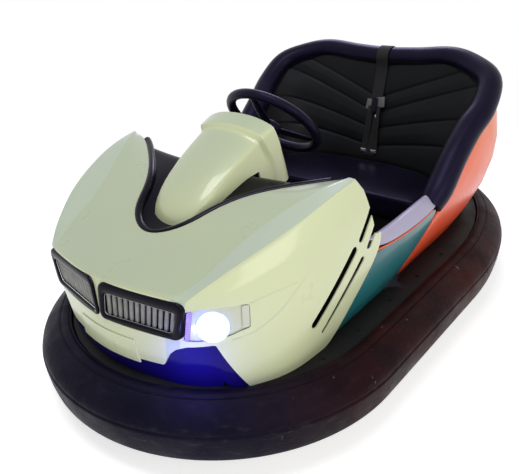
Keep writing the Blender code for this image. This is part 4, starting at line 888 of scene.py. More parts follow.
class Palette:
    """Every finish, made once."""

    def __init__(self, scene):
        paint = scene.bumper_car_paint
        rough = paint.roughness
        # Painted shade on the cream's up-facing faces.
        self.cream = gelcoat("Cream gelcoat", paint.cream, rough, painted_top_shade=paint.cream_painted_top_shade)
        # Painted reflection of cool light on the crest strips.
        self.crest_painted_reflection = gelcoat("Crest gelcoat", paint.crest_painted_reflection, rough)
        self.teal = gelcoat("Teal gelcoat", paint.teal, rough)
        self.orange = gelcoat("Orange gelcoat", paint.orange, rough, (0.78, 0.075, 0.022), (0.30, 0.80), 0.12)
        self.lilac = gelcoat("Lilac grey gelcoat", paint.lilac, rough)
        self.rubber = rubber()
        self.vinyl = vinyl()
        self.back_vinyl = vinyl("Sewn vinyl", (0.0032, 0.0034, 0.0034), (0.70, 0.72, 0.86), BACK_SEAMS, 0.16)
        self.grey_plastic = case_plastic("Grey plastic", (0.070, 0.072, 0.078), (0.110, 0.112, 0.118))
        self.webbing = webbing()
        self.gloss = gloss_black()
        # Painted light: black gloss painted deep blue for the blue light that falls on the insert.
        self.gloss_painted_blue_light = gloss_black("Blue-black gloss", (0.0075, 0.0040, 0.1050))
        self.black_steel = satin_steel()
        self.steel = brushed_steel()
        self.chrome = brushed_steel("Bright trim", (0.85, 0.85, 0.88), 0.12)
        self.slat = slat_paint()
        self.reflector = reflector()
        self.tray = lamp_tray_finish()
        self.violet = violet_glow()
        self.glass = lamp_glass()
        self.marker = marker_lens()
        self.battery = case_plastic()
        self.mat = carpet()


@functools.cache
def palette():
    """The scene's finishes."""
    return Palette(bpy.context.scene)


def node_copy(node, name, material, body="chassis", bevel=0.0, angle=35):
    """A rounded and painted copy of a CAD node's mesh, standing for it."""
    source = bpy.data.objects[node]
    piece = bpy.data.objects.new(name, source.data.copy())
    piece.matrix_world = source.matrix_world.copy()
    bpy.context.scene.collection.objects.link(piece)
    merged(piece, 0.00002)
    edit_all(piece, lambda: bpy.ops.mesh.dissolve_limited(angle_limit=math.radians(0.6)))
    if bevel:
        bevelled(piece, bevel, 2, 40)
    return settled(piece, material, (node,), angle=angle, body=body)


# Tyre and its rim

# Tyre section: how far out from the tyre's seat, and height
TYRE_SECTION = metres((
    (0, 92), (40, 88.8), (79, 85), (86.5, 90), (90, 99), (94, 117), (97, 135), (98.8, 153), (100, 168),
    (99.6, 171.5), (96.2, 173.8), (95.8, 176.8), (97, 180), (94, 189.5), (84, 203.5), (72, 215.8),
    (58, 227.5), (45, 236.8), (38.5, 240.2), (36.2, 238.2), (33.2, 238.6), (31, 242.8), (24, 245),
    (18, 245.8), (11, 245), (8.5, 242), (6, 243.2), (2.5, 242.5), (0, 238),
))


class BUMPERCAR_OT_tyre(bpy.types.Operator):
    """Bumper tyre with its crease, grooves and inner lip"""

    bl_idname = "bumpercar.tyre"
    bl_label = "Bumper tyre"

    def execute(self, context):
        loops = []
        for outward, height in TYRE_SECTION:
            loops.append([(x, y, height) for x, y in plan_outline(TYRE_DEPTH - outward)])
        piece = rounded(looped("tyre", loops + loops[:1]), 1)
        settled(piece, palette().rubber, ("bumper_tyre",), 28)
        return {"FINISHED"}


FLANGE_BOLTS = metres(((447, 151), (447, -28), (447, -205), (447, -390), (439.5, -552)))


class BUMPERCAR_OT_rim(bpy.types.Operator):
    """Steel rim in the tyre, with the bolts along its flange"""

    bl_idname = "bumpercar.rim"
    bl_label = "Rim and bolts"

    def execute(self, context):
        node_copy("tyre_rim", "rim", palette().black_steel, bevel=0.0012)
        places = flipped(FLANGE_BOLTS, 1) + flipped(FLANGE_BOLTS, -1)
        heads = [bolt_head((x, y, FLANGE_TOP - 0.001)) for x, y in places]
        settled(joined("flange_bolts", heads), palette().black_steel)
        return {"FINISHED"}


def bolt_head(place, radius=0.0085, height=0.005):
    """A six-sided head on a washer."""
    parts = []
    for sides, reach, thick, middle, edge in (
        (6, radius * 0.72, height, 0, radius * 0.10),
        (16, radius, height * 0.3, -height * 0.35, height * 0.1),
    ):
        deselect()
        bpy.ops.mesh.primitive_cylinder_add(
            vertices=sides, radius=reach, depth=thick, location=(0, 0, middle))
        parts.append(bevelled(bpy.context.object, edge, 1, 50))
    piece = joined("bolt", parts)
    piece.matrix_world = Matrix.Translation(Vector(place) + Vector((0, 0, height / 2)))
    return baked(piece)


# Bonnet and what sits in it


def grille_loop(share, inset=0.0):
    """A loop between the grille's opening, share 0, and its window, share 1, as (x, z)."""
    corners = [Vector(outer).lerp(Vector(inner), share)
               for outer, inner in zip(GRILLE_CORNERS, GRILLE_WINDOW)]
    return round_corners(moved_in(corners, inset) if inset else corners, 0.024 - 0.012 * share, 8)


def pocket_outline(side, inset):
    """The outline of the lamp's pocket from the front, moved inwards."""
    return flipped(round_corners(moved_in(LAMP_POCKET, inset), 0.008, 3), side)


def grille_depth(x):
    """Depth of the grille's front plane at a distance from the middle."""
    return -0.8975 + 0.187 * abs(x)


def stadium(start, end, start_width, end_width, steps=6):
    """A tapering slot's outline with round ends."""
    start, end = Vector(start), Vector(end)
    along = (end - start).normalized()
    side = Vector((-along.y, along.x))
    out = []
    for middle, sign, reach in ((end, 1, end_width / 2), (start, -1, start_width / 2)):
        for i in range(steps + 1):
            angle = math.pi * i / steps
            out.append(tuple(middle + (along * math.sin(angle) - side * math.cos(angle)) * sign * reach))
    return out


def lamp_pose(side):
    """Where a headlamp stands, with Z out of its glass."""
    (place,), (aim,) = flipped([LAMP_PLACE], side), flipped([LAMP_AIM], side)
    return pose_at(place, aim)


def turned(name, profile, pose, steps=48):
    """A closed shape turned about Z from (radius, height) pairs, from axis to axis, then placed."""
    angles = [2 * math.pi * i / steps for i in range(steps)]
    loops = []
    for radius, height in profile:
        radius = max(radius, 0.0002)
        loops.append([(radius * math.cos(a), radius * math.sin(a), height) for a in angles])
    piece = looped(name, loops, capped=True)
    piece.matrix_world = pose
    return baked(piece)


def drilled(piece, radius, pose, low=-0.06, high=0.06):
    """Drills a piece with a round tool along the Z axis of a pose."""
    return cut(piece, turned("drill", ((0, low), (radius, low), (radius, high), (0, high)), pose))


def nose_cut(piece, outline, operation="DIFFERENCE", back=NOSE_BACK):
    """Cuts a piece from the front with an outline of (x, z) points."""
    return cut(piece, prism("nose_tool", outline, NOSE_FRONT, back), operation)


def bonnet_sheet(name):
    """The bonnet's outer surface as a sheet."""
    return moulding(name, BONNET_ROWS, (0, -0.5, 0.3), creases=BONNET_CREASES, folds=((NOSE_ROW, 0.9),),
                    marked=CREST_REFLECTION_COLUMN)


def inlay(name, sink, thickness, outline, back=NOSE_BACK):
    """The part inside an outline of a sheet with a wall, at a depth below the bonnet's surface."""
    piece = bonnet_sheet(name)
    shape(piece, "DISPLACE", strength=-sink, mid_level=0, direction="NORMAL")
    walled(piece, thickness)
    return nose_cut(piece, outline, "INTERSECT", back)


class BUMPERCAR_OT_bonnet(bpy.types.Operator):
    """Moulded bonnet with its crests, side vents and front openings"""

    bl_idname = "bumpercar.bonnet"
    bl_label = "Bonnet"

    def execute(self, context):
        piece = walled(bonnet_sheet("bonnet"), BONNET_WALL)
        for outline in (*(stadium(*vent) for vent in VENTS), REAR_STEP):
            cut(piece, prism("side_tool", outline, -SIDE_REACH, SIDE_REACH, axis="X"))
        for _, side in SIDES:
            nose_cut(piece, flipped(grille_loop(0.0), side), back=GRILLE_BACK)
            nose_cut(piece, pocket_outline(side, 0.0))
            drilled(piece, LAMP_RADIUS + LAMP_GAP, lamp_pose(side))
        nose_cut(piece, round_corners(INTAKE_OUTLINE, 0.006, 3))
        merged(piece, 0.00002)
        settled(piece, palette().cream, ("hood_shell",), 32, second=palette().crest_painted_reflection)
        self.lines(piece)
        return {"FINISHED"}

    def lines(self, bonnet):
        """The thin raised lines that run back from the lamps."""
        ridges = []
        for line in FLANK_LINES:
            for _, side in SIDES:
                path = [bonnet.closest_point_on_mesh(p)[1] for p in flipped(smooth_path(line, 8), side)]
                sizes = [0.25 + 0.75 * (len(path) - 1 - i) / len(path) for i in range(len(path))]
                ridges.append(pipe("ridge", path, 0.0012, 8, sizes))
        settled(joined("flank_lines", ridges), palette().crest_painted_reflection)


class BUMPERCAR_OT_chin(bpy.types.Operator):
    """Blank plate on the chin, a little proud of it"""

    bl_idname = "bumpercar.chin"
    bl_label = "Chin plate"

    def execute(self, context):
        piece = inlay("chin_plate", -0.0028, 0.0026, round_corners(CHIN_PLATE, 0.004, 4), GRILLE_BACK)
        settled(bevelled(piece, 0.0006, 2, 60), palette().cream, angle=40)
        return {"FINISHED"}


class BUMPERCAR_OT_intake(bpy.types.Operator):
    """Black insert under the lamps"""

    bl_idname = "bumpercar.intake"
    bl_label = "Intake insert"

    def execute(self, context):
        piece = inlay("intake", BONNET_WALL + 0.0012, 0.003, moved_in(INTAKE_OUTLINE, -INTAKE_REACH))
        for _, side in SIDES:
            drilled(piece, LAMP_RADIUS + 0.0012, lamp_pose(side), -0.07, 0.05)
        # The insert's deep blue is painted blue light on black gloss.
        settled(piece, palette().gloss_painted_blue_light, ("intake_panel",), 40)
        return {"FINISHED"}


class BUMPERCAR_OT_grilles(bpy.types.Operator):
    """Two grilles: a broad black bezel, a bright inner line and upright slats each"""

    bl_idname = "bumpercar.grilles"
    bl_label = "Grilles"

    # Bezel section: share of the way from the opening to the window, and depth behind the grille's plane
    BEZEL = (
        (0.00, 0.0075), (0.00, -0.0015), (0.03, -0.0045), (0.10, -0.0068), (0.22, -0.0080), (0.50, -0.0086),
        (0.76, -0.0080), (0.90, -0.0062), (0.97, -0.0034), (1.00, 0.0005), (1.00, 0.0075),
    )
    # Slats in each grille, the share of the width they fill, and their height and depth
    SLATS = 12
    BAR_SHARE = 0.60
    BAR_FOOT, BAR_TOP = 0.388, 0.474
    BAR_FRONT, BAR_BACK = -0.0005, 0.0070

    def execute(self, context):
        for suffix, side in SIDES:
            self.bezel(suffix, side)
        self.slats()
        return {"FINISHED"}

    def ring(self, side, share, depth, inset):
        """A loop of the bezel in space."""
        return [(side * x, grille_depth(x) + depth, z) for x, z in grille_loop(share, inset)]

    def bezel(self, suffix, side):
        """The black frame and the thin bright line inside it."""
        loops = [self.ring(side, share, depth, BEZEL_FIT) for share, depth in self.BEZEL]
        piece = looped(f"bezel_{suffix}", loops + loops[:1])
        settled(piece, palette().gloss, (f"grille_frame_{suffix}",), 50)
        line = pipe(f"bezel_line_{suffix}", self.ring(side, 1.0, -0.0025, 0.0007), 0.0008, 8, closed=True)
        # Painted light: the same trim line is bright trim on the -X grille and darker brushed steel on the +X
        # grille, a lit and a shaded copy.
        settled(line, palette().chrome if side < 0 else palette().steel)

    def slats(self):
        """The slats, fanned out from the middle, and the dark sheet behind them."""
        (low_x, _), (high_x, _), (high_foot, _), (low_foot, _) = GRILLE_WINDOW
        bars = []
        half = (high_x - low_x) / self.SLATS * self.BAR_SHARE / 2
        for _, side in SIDES:
            for i in range(self.SLATS):
                share = (i + 0.5) / self.SLATS
                top = low_x + (high_x - low_x) * share
                foot = low_foot + (high_foot - low_foot) * share
                outline = ((foot - half, self.BAR_FOOT), (foot + half, self.BAR_FOOT),
                           (top + half, self.BAR_TOP), (top - half, self.BAR_TOP))
                depth = grille_depth((top + foot) / 2)
                bar = prism("slat", flipped(outline, side), depth + self.BAR_FRONT, depth + self.BAR_BACK)
                bars.append(bevelled(bar, 0.0022, 3, 50))
        settled(joined("slats", bars), palette().slat, ("grille_slats",), 40)
        backing = [prism("backing", flipped(grille_loop(0.6), side), 0.011, 0.013) for _, side in SIDES]
        dark = joined("grille_backing", backing)
        for point in dark.data.vertices:
            point.co.y += grille_depth(point.co.x)
        settled(dark, palette().black_steel)


class BUMPERCAR_OT_lamps(bpy.types.Operator):
    """Two lit headlamps: bowl, reflector and domed lens"""

    bl_idname = "bumpercar.lamps"
    bl_label = "Headlamps"

    # The marker strip at the pocket's outer edge, and the violet bar at its inner one
    MARKER = metres(((352, 471), (361.5, 471.5), (362.2, 413.5), (352.2, 412.5)))
    BAR = metres(((260, 464), (269.5, 464), (256.5, 385), (247, 385)))
    # Radius and height from the axis round to the axis again
    BOWL = metres((
        (0, -50), (24, -50), (34, -36), (39.4, -18), (39.8, 2), (38.8, 4.5), (37, 5), (35.2, 4), (34.8, -3),
        (31, -12), (22, -30), (10, -36), (0, -37),
    ))
    LENS = metres((
        (0, -3), (32.148, -3), (34.2, -1.8), (33.687, 0.4), (30.78, 2.2), (24.624, 4), (15.39, 5.4),
        (6.84, 6), (0, 6.2),
    ))

    def execute(self, context):
        for suffix, side in SIDES:
            for name, profile, finish in (
                ("bowl", self.BOWL, palette().reflector), ("lens", self.LENS, palette().glass),
            ):
                piece = turned(f"lamp_{name}_{suffix}", profile, lamp_pose(side))
                settled(piece, finish, (f"headlamp_{name}_{suffix}",), 40)
            self.tray(suffix, side)
        return {"FINISHED"}

    def tray(self, suffix, side):
        """The bright sunk surround of the lamp, its violet bar and its marker strip."""
        tray = inlay(f"lamp_tray_{suffix}", POCKET_DEPTH, 0.003, pocket_outline(side, 0.0008))
        nose_cut(tray, flipped(grille_loop(0.0, -BEZEL_FIT), side))
        drilled(tray, LAMP_RADIUS + 0.0004, lamp_pose(side))
        settled(tray, palette().tray, angle=32)
        for name, sink, thickness, corners, corner, finish in (
            ("lamp_bar", 0.0008, 0.003, self.BAR, 0.003, palette().violet),
            ("marker", 0.0002, 0.0035, self.MARKER, 0.002, palette().marker),
        ):
            outline = round_corners(flipped(corners, side), corner, 3)
            piece = inlay(f"{name}_{suffix}", sink, thickness, outline)
            settled(piece, finish, angle=32)


# Cockpit


class BUMPERCAR_OT_dash(bpy.types.Operator):
    """Glossy dash in the trough between the crests, with its lips"""

    bl_idname = "bumpercar.dash"
    bl_label = "Dash"

    # The trough's edge lies within these limits of the bonnet's edge, and faces this middle
    EDGE_FLOOR = 0.5
    EDGE_REACH = 0.3625
    TROUGH_MIDDLE = Vector((0, -0.40, 0))

    def execute(self, context):
        piece = walled(moulding("dash", DASH_ROWS, (0, -0.5, 0.2)), 0.004)
        drilled(piece, SHAFT_HOLE, pose_at(WHEEL_CENTRE, COLUMN_AXIS), -0.50, 0.10)
        settled(piece, palette().gloss, ("dash_panel",))
        lip = pipe("dash_lip", self.trough_edge(0.0095, 0.0065), 0.0120, 16)
        settled(lip, palette().gloss)
        return {"FINISHED"}

    def trough_edge(self, inwards, down):
        """The bonnet's edge round the dash, from one side to the other, moved into the trough."""
        sheet = bonnet_sheet("edge_guide")
        faces = Counter(key for face in sheet.data.polygons for key in face.edge_keys)
        rim = {i for key, count in faces.items() if count == 1 for i in key}
        points = [sheet.data.vertices[i].co.copy() for i in rim]
        bpy.data.objects.remove(sheet, do_unlink=True)
        edge = [p for p in points if p.z > self.EDGE_FLOOR and abs(p.x) < self.EDGE_REACH]
        edge.sort(key=lambda p: -p.x)
        path = []
        for i, here in enumerate(edge):
            along = edge[min(i + 2, len(edge) - 1)] - edge[max(i - 2, 0)]
            away = Vector((along.y, -along.x, 0)).normalized()
            if away.dot(self.TROUGH_MIDDLE - here) < 0:
                away = -away
            path.append(here + away * inwards - Vector((0, 0, down)))
        return path


class BUMPERCAR_OT_cowl(bpy.types.Operator):
    """Cowl over the steering column, with a raised collar"""

    bl_idname = "bumpercar.cowl"
    bl_label = "Cowl"

    def execute(self, context):
        piece = moulding("cowl", COWL_ROWS, (0, -0.4, 0.5), creases=((2, 0.5), (4, 1.0)),
                         folds=((5, 0.6), (6, 0.7), (7, 0.6), (8, 1.0)))
        walled(piece, 0.005)
        below = [[(x, y, z - 0.0005) for x, y, z in row] for row in DASH_ROWS[1:]]
        cut(piece, walled(moulding("cowl_tool", below, (0, -0.5, 0.2)), 0.10))
        merged(piece, 0.00002)
        settled(piece, palette().cream, ("column_cowl",), 32)
        return {"FINISHED"}


class BUMPERCAR_OT_wheel(bpy.types.Operator):
    """Steering wheel: soft rim, three spokes and a padded hub"""

    bl_idname = "bumpercar.wheel"
    bl_label = "Steering wheel"

    # Radius and height round the hub, from axis to axis
    HUB = metres((
        (0, -30), (30, -30), (34, -26), (34, -14), (32, -10), (26, -6.5), (22, -7), (20, -6), (12, -4.5),
        (0, -4),
    ))
    # Along a spoke: reach, half width, height, half thickness
    SPOKE = metres(((18, 21, -21, 5), (50, 19, -17, 4.8), (95, 15.5, -10, 4.4), (138, 13.5, -3, 4)))

    def execute(self, context):
        spokes = [self.spoke(math.radians(degrees)) for degrees in (90, 210, 330)]
        piece = joined("wheel", [self.rim(), turned("hub", self.HUB, Matrix.Identity(4), 36), *spokes])
        piece.matrix_world = pose_at(WHEEL_CENTRE, COLUMN_AXIS)
        settled(piece, palette().vinyl, ("steering_wheel",), 45, body="steering")
        node_copy("steering_shaft", "shaft", palette().steel, "steering", angle=40)
        return {"FINISHED"}

    def rim(self):
        """The rim, with finger dents on its inside."""
        deselect()
        bpy.ops.mesh.primitive_torus_add(
            major_radius=WHEEL_RADIUS, minor_radius=WHEEL_TUBE, major_segments=96, minor_segments=20)
        piece = bpy.context.object
        for point in piece.data.vertices:
            angle = math.atan2(point.co.y, point.co.x)
            out = Vector((math.cos(angle), math.sin(angle), 0)) * WHEEL_RADIUS
            offset = point.co - out
            inner = max(0.0, -offset.normalized().dot(out.normalized()))
            point.co = out + offset * (1 - 0.05 * inner * (0.5 + 0.5 * math.cos(angle * 30)))
        return piece

    def spoke(self, angle):
        """A flat oval bar from the hub out to the rim."""
        out = Vector((math.cos(angle), math.sin(angle), 0))
        side = Vector((-out.y, out.x, 0))
        turns = [2 * math.pi * i / 16 for i in range(16)]
        oval = [(math.copysign(abs(math.cos(a)) ** 0.7, math.cos(a)),
                 math.copysign(abs(math.sin(a)) ** 0.8, math.sin(a))) for a in turns]
        rows = []
        for reach, half, height, thick in self.SPOKE:
            rows.append([out * reach + side * half * a + Vector((0, 0, height + thick * b)) for a, b in oval])
        return rounded(looped("spoke", rows, capped=True), 1)


# Side panels and rear shell


class BUMPERCAR_OT_sides(bpy.types.Operator):
    """Teal side panels and lilac sill caps"""

    bl_idname = "bumpercar.sides"
    bl_label = "Sides"

    def execute(self, context):
        for suffix, side in SIDES:
            for name, rows, slot, finish, node in (
                ("flank", FLANK_ROWS, "teal_shell", palette().teal, "side_panel"),
                ("sill", SILL_ROWS, "grey_shell", palette().lilac, "sill_cap"),
            ):
                placed = [flipped(row, side) for row in rows]
                inside = (side * 0.1, -0.1, 0.25)
                piece = moulding(f"{name}_{suffix}", placed, inside, mirrored=False, levels=4)
                bevelled(walled(piece, SKIN), 0.0012, 2, 50)
                settled(piece, finish, (f"{node}_{suffix}",), 40)
            # Painted highlight: an orange bead along the seam of sill cap and side panel stands for the
            # orange-red highlight line there.
            seam = flipped([(x + 0.0006, y, z + 0.0035) for x, y, z in FLANK_ROWS[0]], side)
            line = pipe(f"sill_line_{suffix}", smooth_path(seam, 6)[:-3], 0.0028, 10)
            settled(line, palette().orange)
        return {"FINISHED"}


class BUMPERCAR_OT_rear(bpy.types.Operator):
    """Orange rear shell"""

    bl_idname = "bumpercar.rear"
    bl_label = "Rear shell"

    def execute(self, context):
        rear = node_copy("rear_shell", "rear", palette().orange, angle=60)
        shape(rear, "WEIGHTED_NORMAL", keep_sharp=True, weight=100)
        return {"FINISHED"}


# Seat


def roll_path(spans):
    """The roll's middle line from end to end, each point with its share of the radius."""
    half = smooth_path(ROLL_POINTS, spans)
    return half + [Vector(p) for p in flipped(reversed(half[:-1]), -1)]


def clear_of_roll(piece, gap=0.0012):
    """Moves the points that lie inside the roll out to its surface, and a little off it."""
    path = roll_path(24)
    tree = KDTree(len(path))
    for i, p in enumerate(path):
        tree.insert(p.to_3d(), i)
    tree.balance()
    for point in piece.data.vertices:
        near, i, _ = tree.find(point.co)
        along = (path[min(i + 1, len(path) - 1)] - path[max(i - 1, 0)]).to_3d().normalized()
        away = point.co - near
        away -= along * away.dot(along)
        reach = ROLL_RADIUS * path[i][3] + gap
        if 0 < away.length < reach:
            point.co += away.normalized() * (reach - away.length)


class BUMPERCAR_OT_roll(bpy.types.Operator):
    """Round vinyl roll along the top of the seat"""

    bl_idname = "bumpercar.roll"
    bl_label = "Seat roll"

    def execute(self, context):
        path = roll_path(8)
        sizes = [p[3] - 0.0006 / ROLL_RADIUS for p in path]
        piece = pipe("roll", [p[:3] for p in path], ROLL_RADIUS, 24, sizes)
        bevelled(piece, 0.010, 3, 60)
        settled(piece, palette().vinyl, ("seat_roll",), 50)
        return {"FINISHED"}


class BUMPERCAR_OT_back(bpy.types.Operator):
    """Wrapped backrest with seams that run out from its middle"""

    bl_idname = "bumpercar.back"
    bl_label = "Backrest"

    # How far from a seam the cover is full, how wide the seam's groove is, and where the swelling begins
    FULL_AT = 0.026
    GROOVE = 0.0045
    FOOT, RISE = 0.402, 0.020

    def execute(self, context):
        trim = context.scene.bumper_car_trim
        piece = moulding("backrest", BACK_ROWS, (0, 0.9, 0.3), levels=5)
        self.swell(piece, trim.crown, trim.seam_depth)
        clear_of_roll(piece)
        walled(piece, 0.008, even=False)
        settled(piece, palette().back_vinyl, ("seat_back",), 50)
        return {"FINISHED"}

    def swell(self, piece, crown, depth):
        """Fills the cover between the seams and sinks it at them."""
        moved = []
        for point in piece.data.vertices:
            away = min(abs(point.co.z - low - rise * abs(point.co.x)) / math.hypot(1, rise)
                       for low, rise in BACK_SEAMS)
            full = 1 - math.exp(-(away / self.FULL_AT) ** 1.8)
            groove = math.exp(-(away / self.GROOVE) ** 2)
            edge = min(1.0, max(0.0, (point.co.z - self.FOOT) / self.RISE))
            moved.append(point.co + point.normal * ((crown * full - depth * groove) * edge))
        for point, place in zip(piece.data.vertices, moved):
            point.co = place


class BUMPERCAR_OT_cushion(bpy.types.Operator):
    """Seat cushion: a sewn cover blown up as cloth, with piping round its top"""

    bl_idname = "bumpercar.cushion"
    bl_label = "Cushion"

    def execute(self, context):
        left = flipped(reversed(CUSHION_HALF[:-1]), -1)
        outline = moved_in(round_corners(left[-1:] + CUSHION_HALF + left[:-1], 0.020, 4), 0.0015)
        levels = [[(x, y, z) for x, y in outline] for z in (CUSHION_BASE, CUSHION_TOP)]
        piece = bevelled(looped("cushion", levels, capped=True), 0.014, 4, 50)
        stuffed(piece, self.held, context.scene.bumper_car_trim.pressure)
        settled(piece, palette().vinyl, ("seat_cushion",), 60)
        top = moved_in(outline, 0.0048)
        cord = pipe("cushion_piping", [(x, y, CUSHION_TOP - 0.0035) for x, y in top], 0.0026, 8, closed=True)
        settled(cord, palette().vinyl)
        return {"FINISHED"}

    def held(self, place):
        """The foot of the cover, and its sides where the backrest stands round it."""
        low = place.z < CUSHION_BASE + 0.012
        edge = CUSHION_TOP - 0.009 < place.z < CUSHION_TOP - 0.0005
        beside = place.y > 0.135 and place.z < CUSHION_TOP - 0.001
        return low or edge or beside


class BUMPERCAR_OT_belt(bpy.types.Operator):
    """Lap strap with its buckle and bright tabs"""

    bl_idname = "bumpercar.belt"
    bl_label = "Belt"

    # The strap's middle line down the backrest as (y, z), then outlines as (x, z)
    LOOP = metres(((470, 630), (458, 595), (450, 550), (442, 500), (433, 455)))
    COVER = metres(((4, 0), (40, 8), (36, 46), (2, 40)))
    CATCH = metres(((-13, 590), (13, 590), (13, 650), (-13, 650)))
    TAB = metres(((-14, 443), (14, 443), (14, 457), (-14, 457)))
    CLIP = metres(((18, 566), (22, 566), (16, 592), (12, 592)))
    HALF_STRAP = 0.0125
    # The backrest's lean at the buckle, and the height the lean is counted from
    LEAN = 0.26
    LEAN_HEIGHT = 0.62

    def execute(self, context):
        node_copy("belt_strap", "belt", palette().webbing, angle=40)
        self.buckle()
        self.straps()
        return {"FINISHED"}

    def buckle(self):
        """The grey covers on both ends of the buckle, and its dark catch."""
        covers = []
        for side, low in ((1, 0.6120), (-1, 0.6000)):
            outline = [(side * x, low + z) for x, z in self.COVER]
            cover = self.leaned(prism("cover", outline, -0.006, 0.006), 0.4665)
            covers.append(bevelled(cover, 0.0035, 3, 50))
        settled(joined("buckle_covers", covers), palette().grey_plastic)
        catch = self.leaned(prism("buckle_catch", self.CATCH, -0.008, 0.004), 0.4635)
        settled(bevelled(catch, 0.0030, 3, 50), palette().gloss)

    def leaned(self, piece, depth):
        """Leans a piece back like the backrest, to a depth at the buckle's height."""
        for point in piece.data.vertices:
            point.co.y += depth + self.LEAN * (point.co.z - self.LEAN_HEIGHT)
        return piece

    def straps(self):
        """Two lap ends hanging down from the buckle to bright tabs."""
        ends, tabs = [], []
        for _, side in SIDES:
            path = [(side * (0.012 + 0.010 * i / 4), y - 0.006, z) for i, (y, z) in enumerate(self.LOOP)]
            half = self.HALF_STRAP
            rows = [[(x - half, y, z), (x + half, y, z)] for x, y, z in smooth_path(path, 4)]
            strap, _ = mesh_grid("strap", rows)
            ends.append(walled(sheet_outwards(strap, (0, 0.8, 0.5)), 0.0022))
            outline = round_corners([(path[-1][0] + x, z) for x, z in self.TAB], 0.003, 3)
            tabs.append(bevelled(prism("tab", outline, 0.4235, 0.4275), 0.0008, 2, 50))
        settled(joined("lap_straps", ends), palette().webbing)
        tabs.append(bevelled(prism("clip", self.CLIP, 0.4440, 0.4475), 0.0008, 2, 50))
        settled(joined("bright_tabs", tabs), palette().chrome)


# Machine parts, seen under the body and with it open

# Node, finish, bevel in millimetres
MACHINE = (
    ("chassis_pan", "black_steel", 1.2), ("foot_plate", "mat", 0.8), ("column_tube", "black_steel", 0),
    ("bulkhead", "black_steel", 1), ("seat_box", "black_steel", 1), ("pedal_bracket", "black_steel", 1),
    ("accelerator_pedal", "steel", 1.5), ("battery", "battery", 4), ("drive_bridge", "black_steel", 1),
    ("drive_fork", "black_steel", 1), ("drive_axle", "steel", 0.8), ("drive_motor", "steel", 2),
    ("drive_tyre", "rubber", 0), ("drive_hub", "steel", 1), ("rear_bracket_l", "black_steel", 1),
    ("rear_bracket_r", "black_steel", 1), ("rear_axle", "steel", 0.8), ("rear_tyre_l", "rubber", 0),
    ("rear_tyre_r", "rubber", 0), ("rear_hub_l", "steel", 1), ("rear_hub_r", "steel", 1),
)
MOVING = {
    "drive_fork": "drive_fork", "drive_axle": "drive_fork", "drive_motor": "drive_fork",
    "drive_tyre": "drive_wheel", "drive_hub": "drive_wheel", "rear_tyre_l": "rear_wheel_l",
    "rear_hub_l": "rear_wheel_l", "rear_tyre_r": "rear_wheel_r", "rear_hub_r": "rear_wheel_r",
}


class BUMPERCAR_OT_machine(bpy.types.Operator):
    """Floor pan, drive unit, wheels, battery and pedal"""

    bl_idname = "bumpercar.machine"
    bl_label = "Machine parts"

    def execute(self, context):
        for node, finish, bevel in MACHINE:
            body = MOVING.get(node, "chassis")
            node_copy(node, f"{node}_part", getattr(palette(), finish), body, bevel / 1000)
        return {"FINISHED"}


# Stage


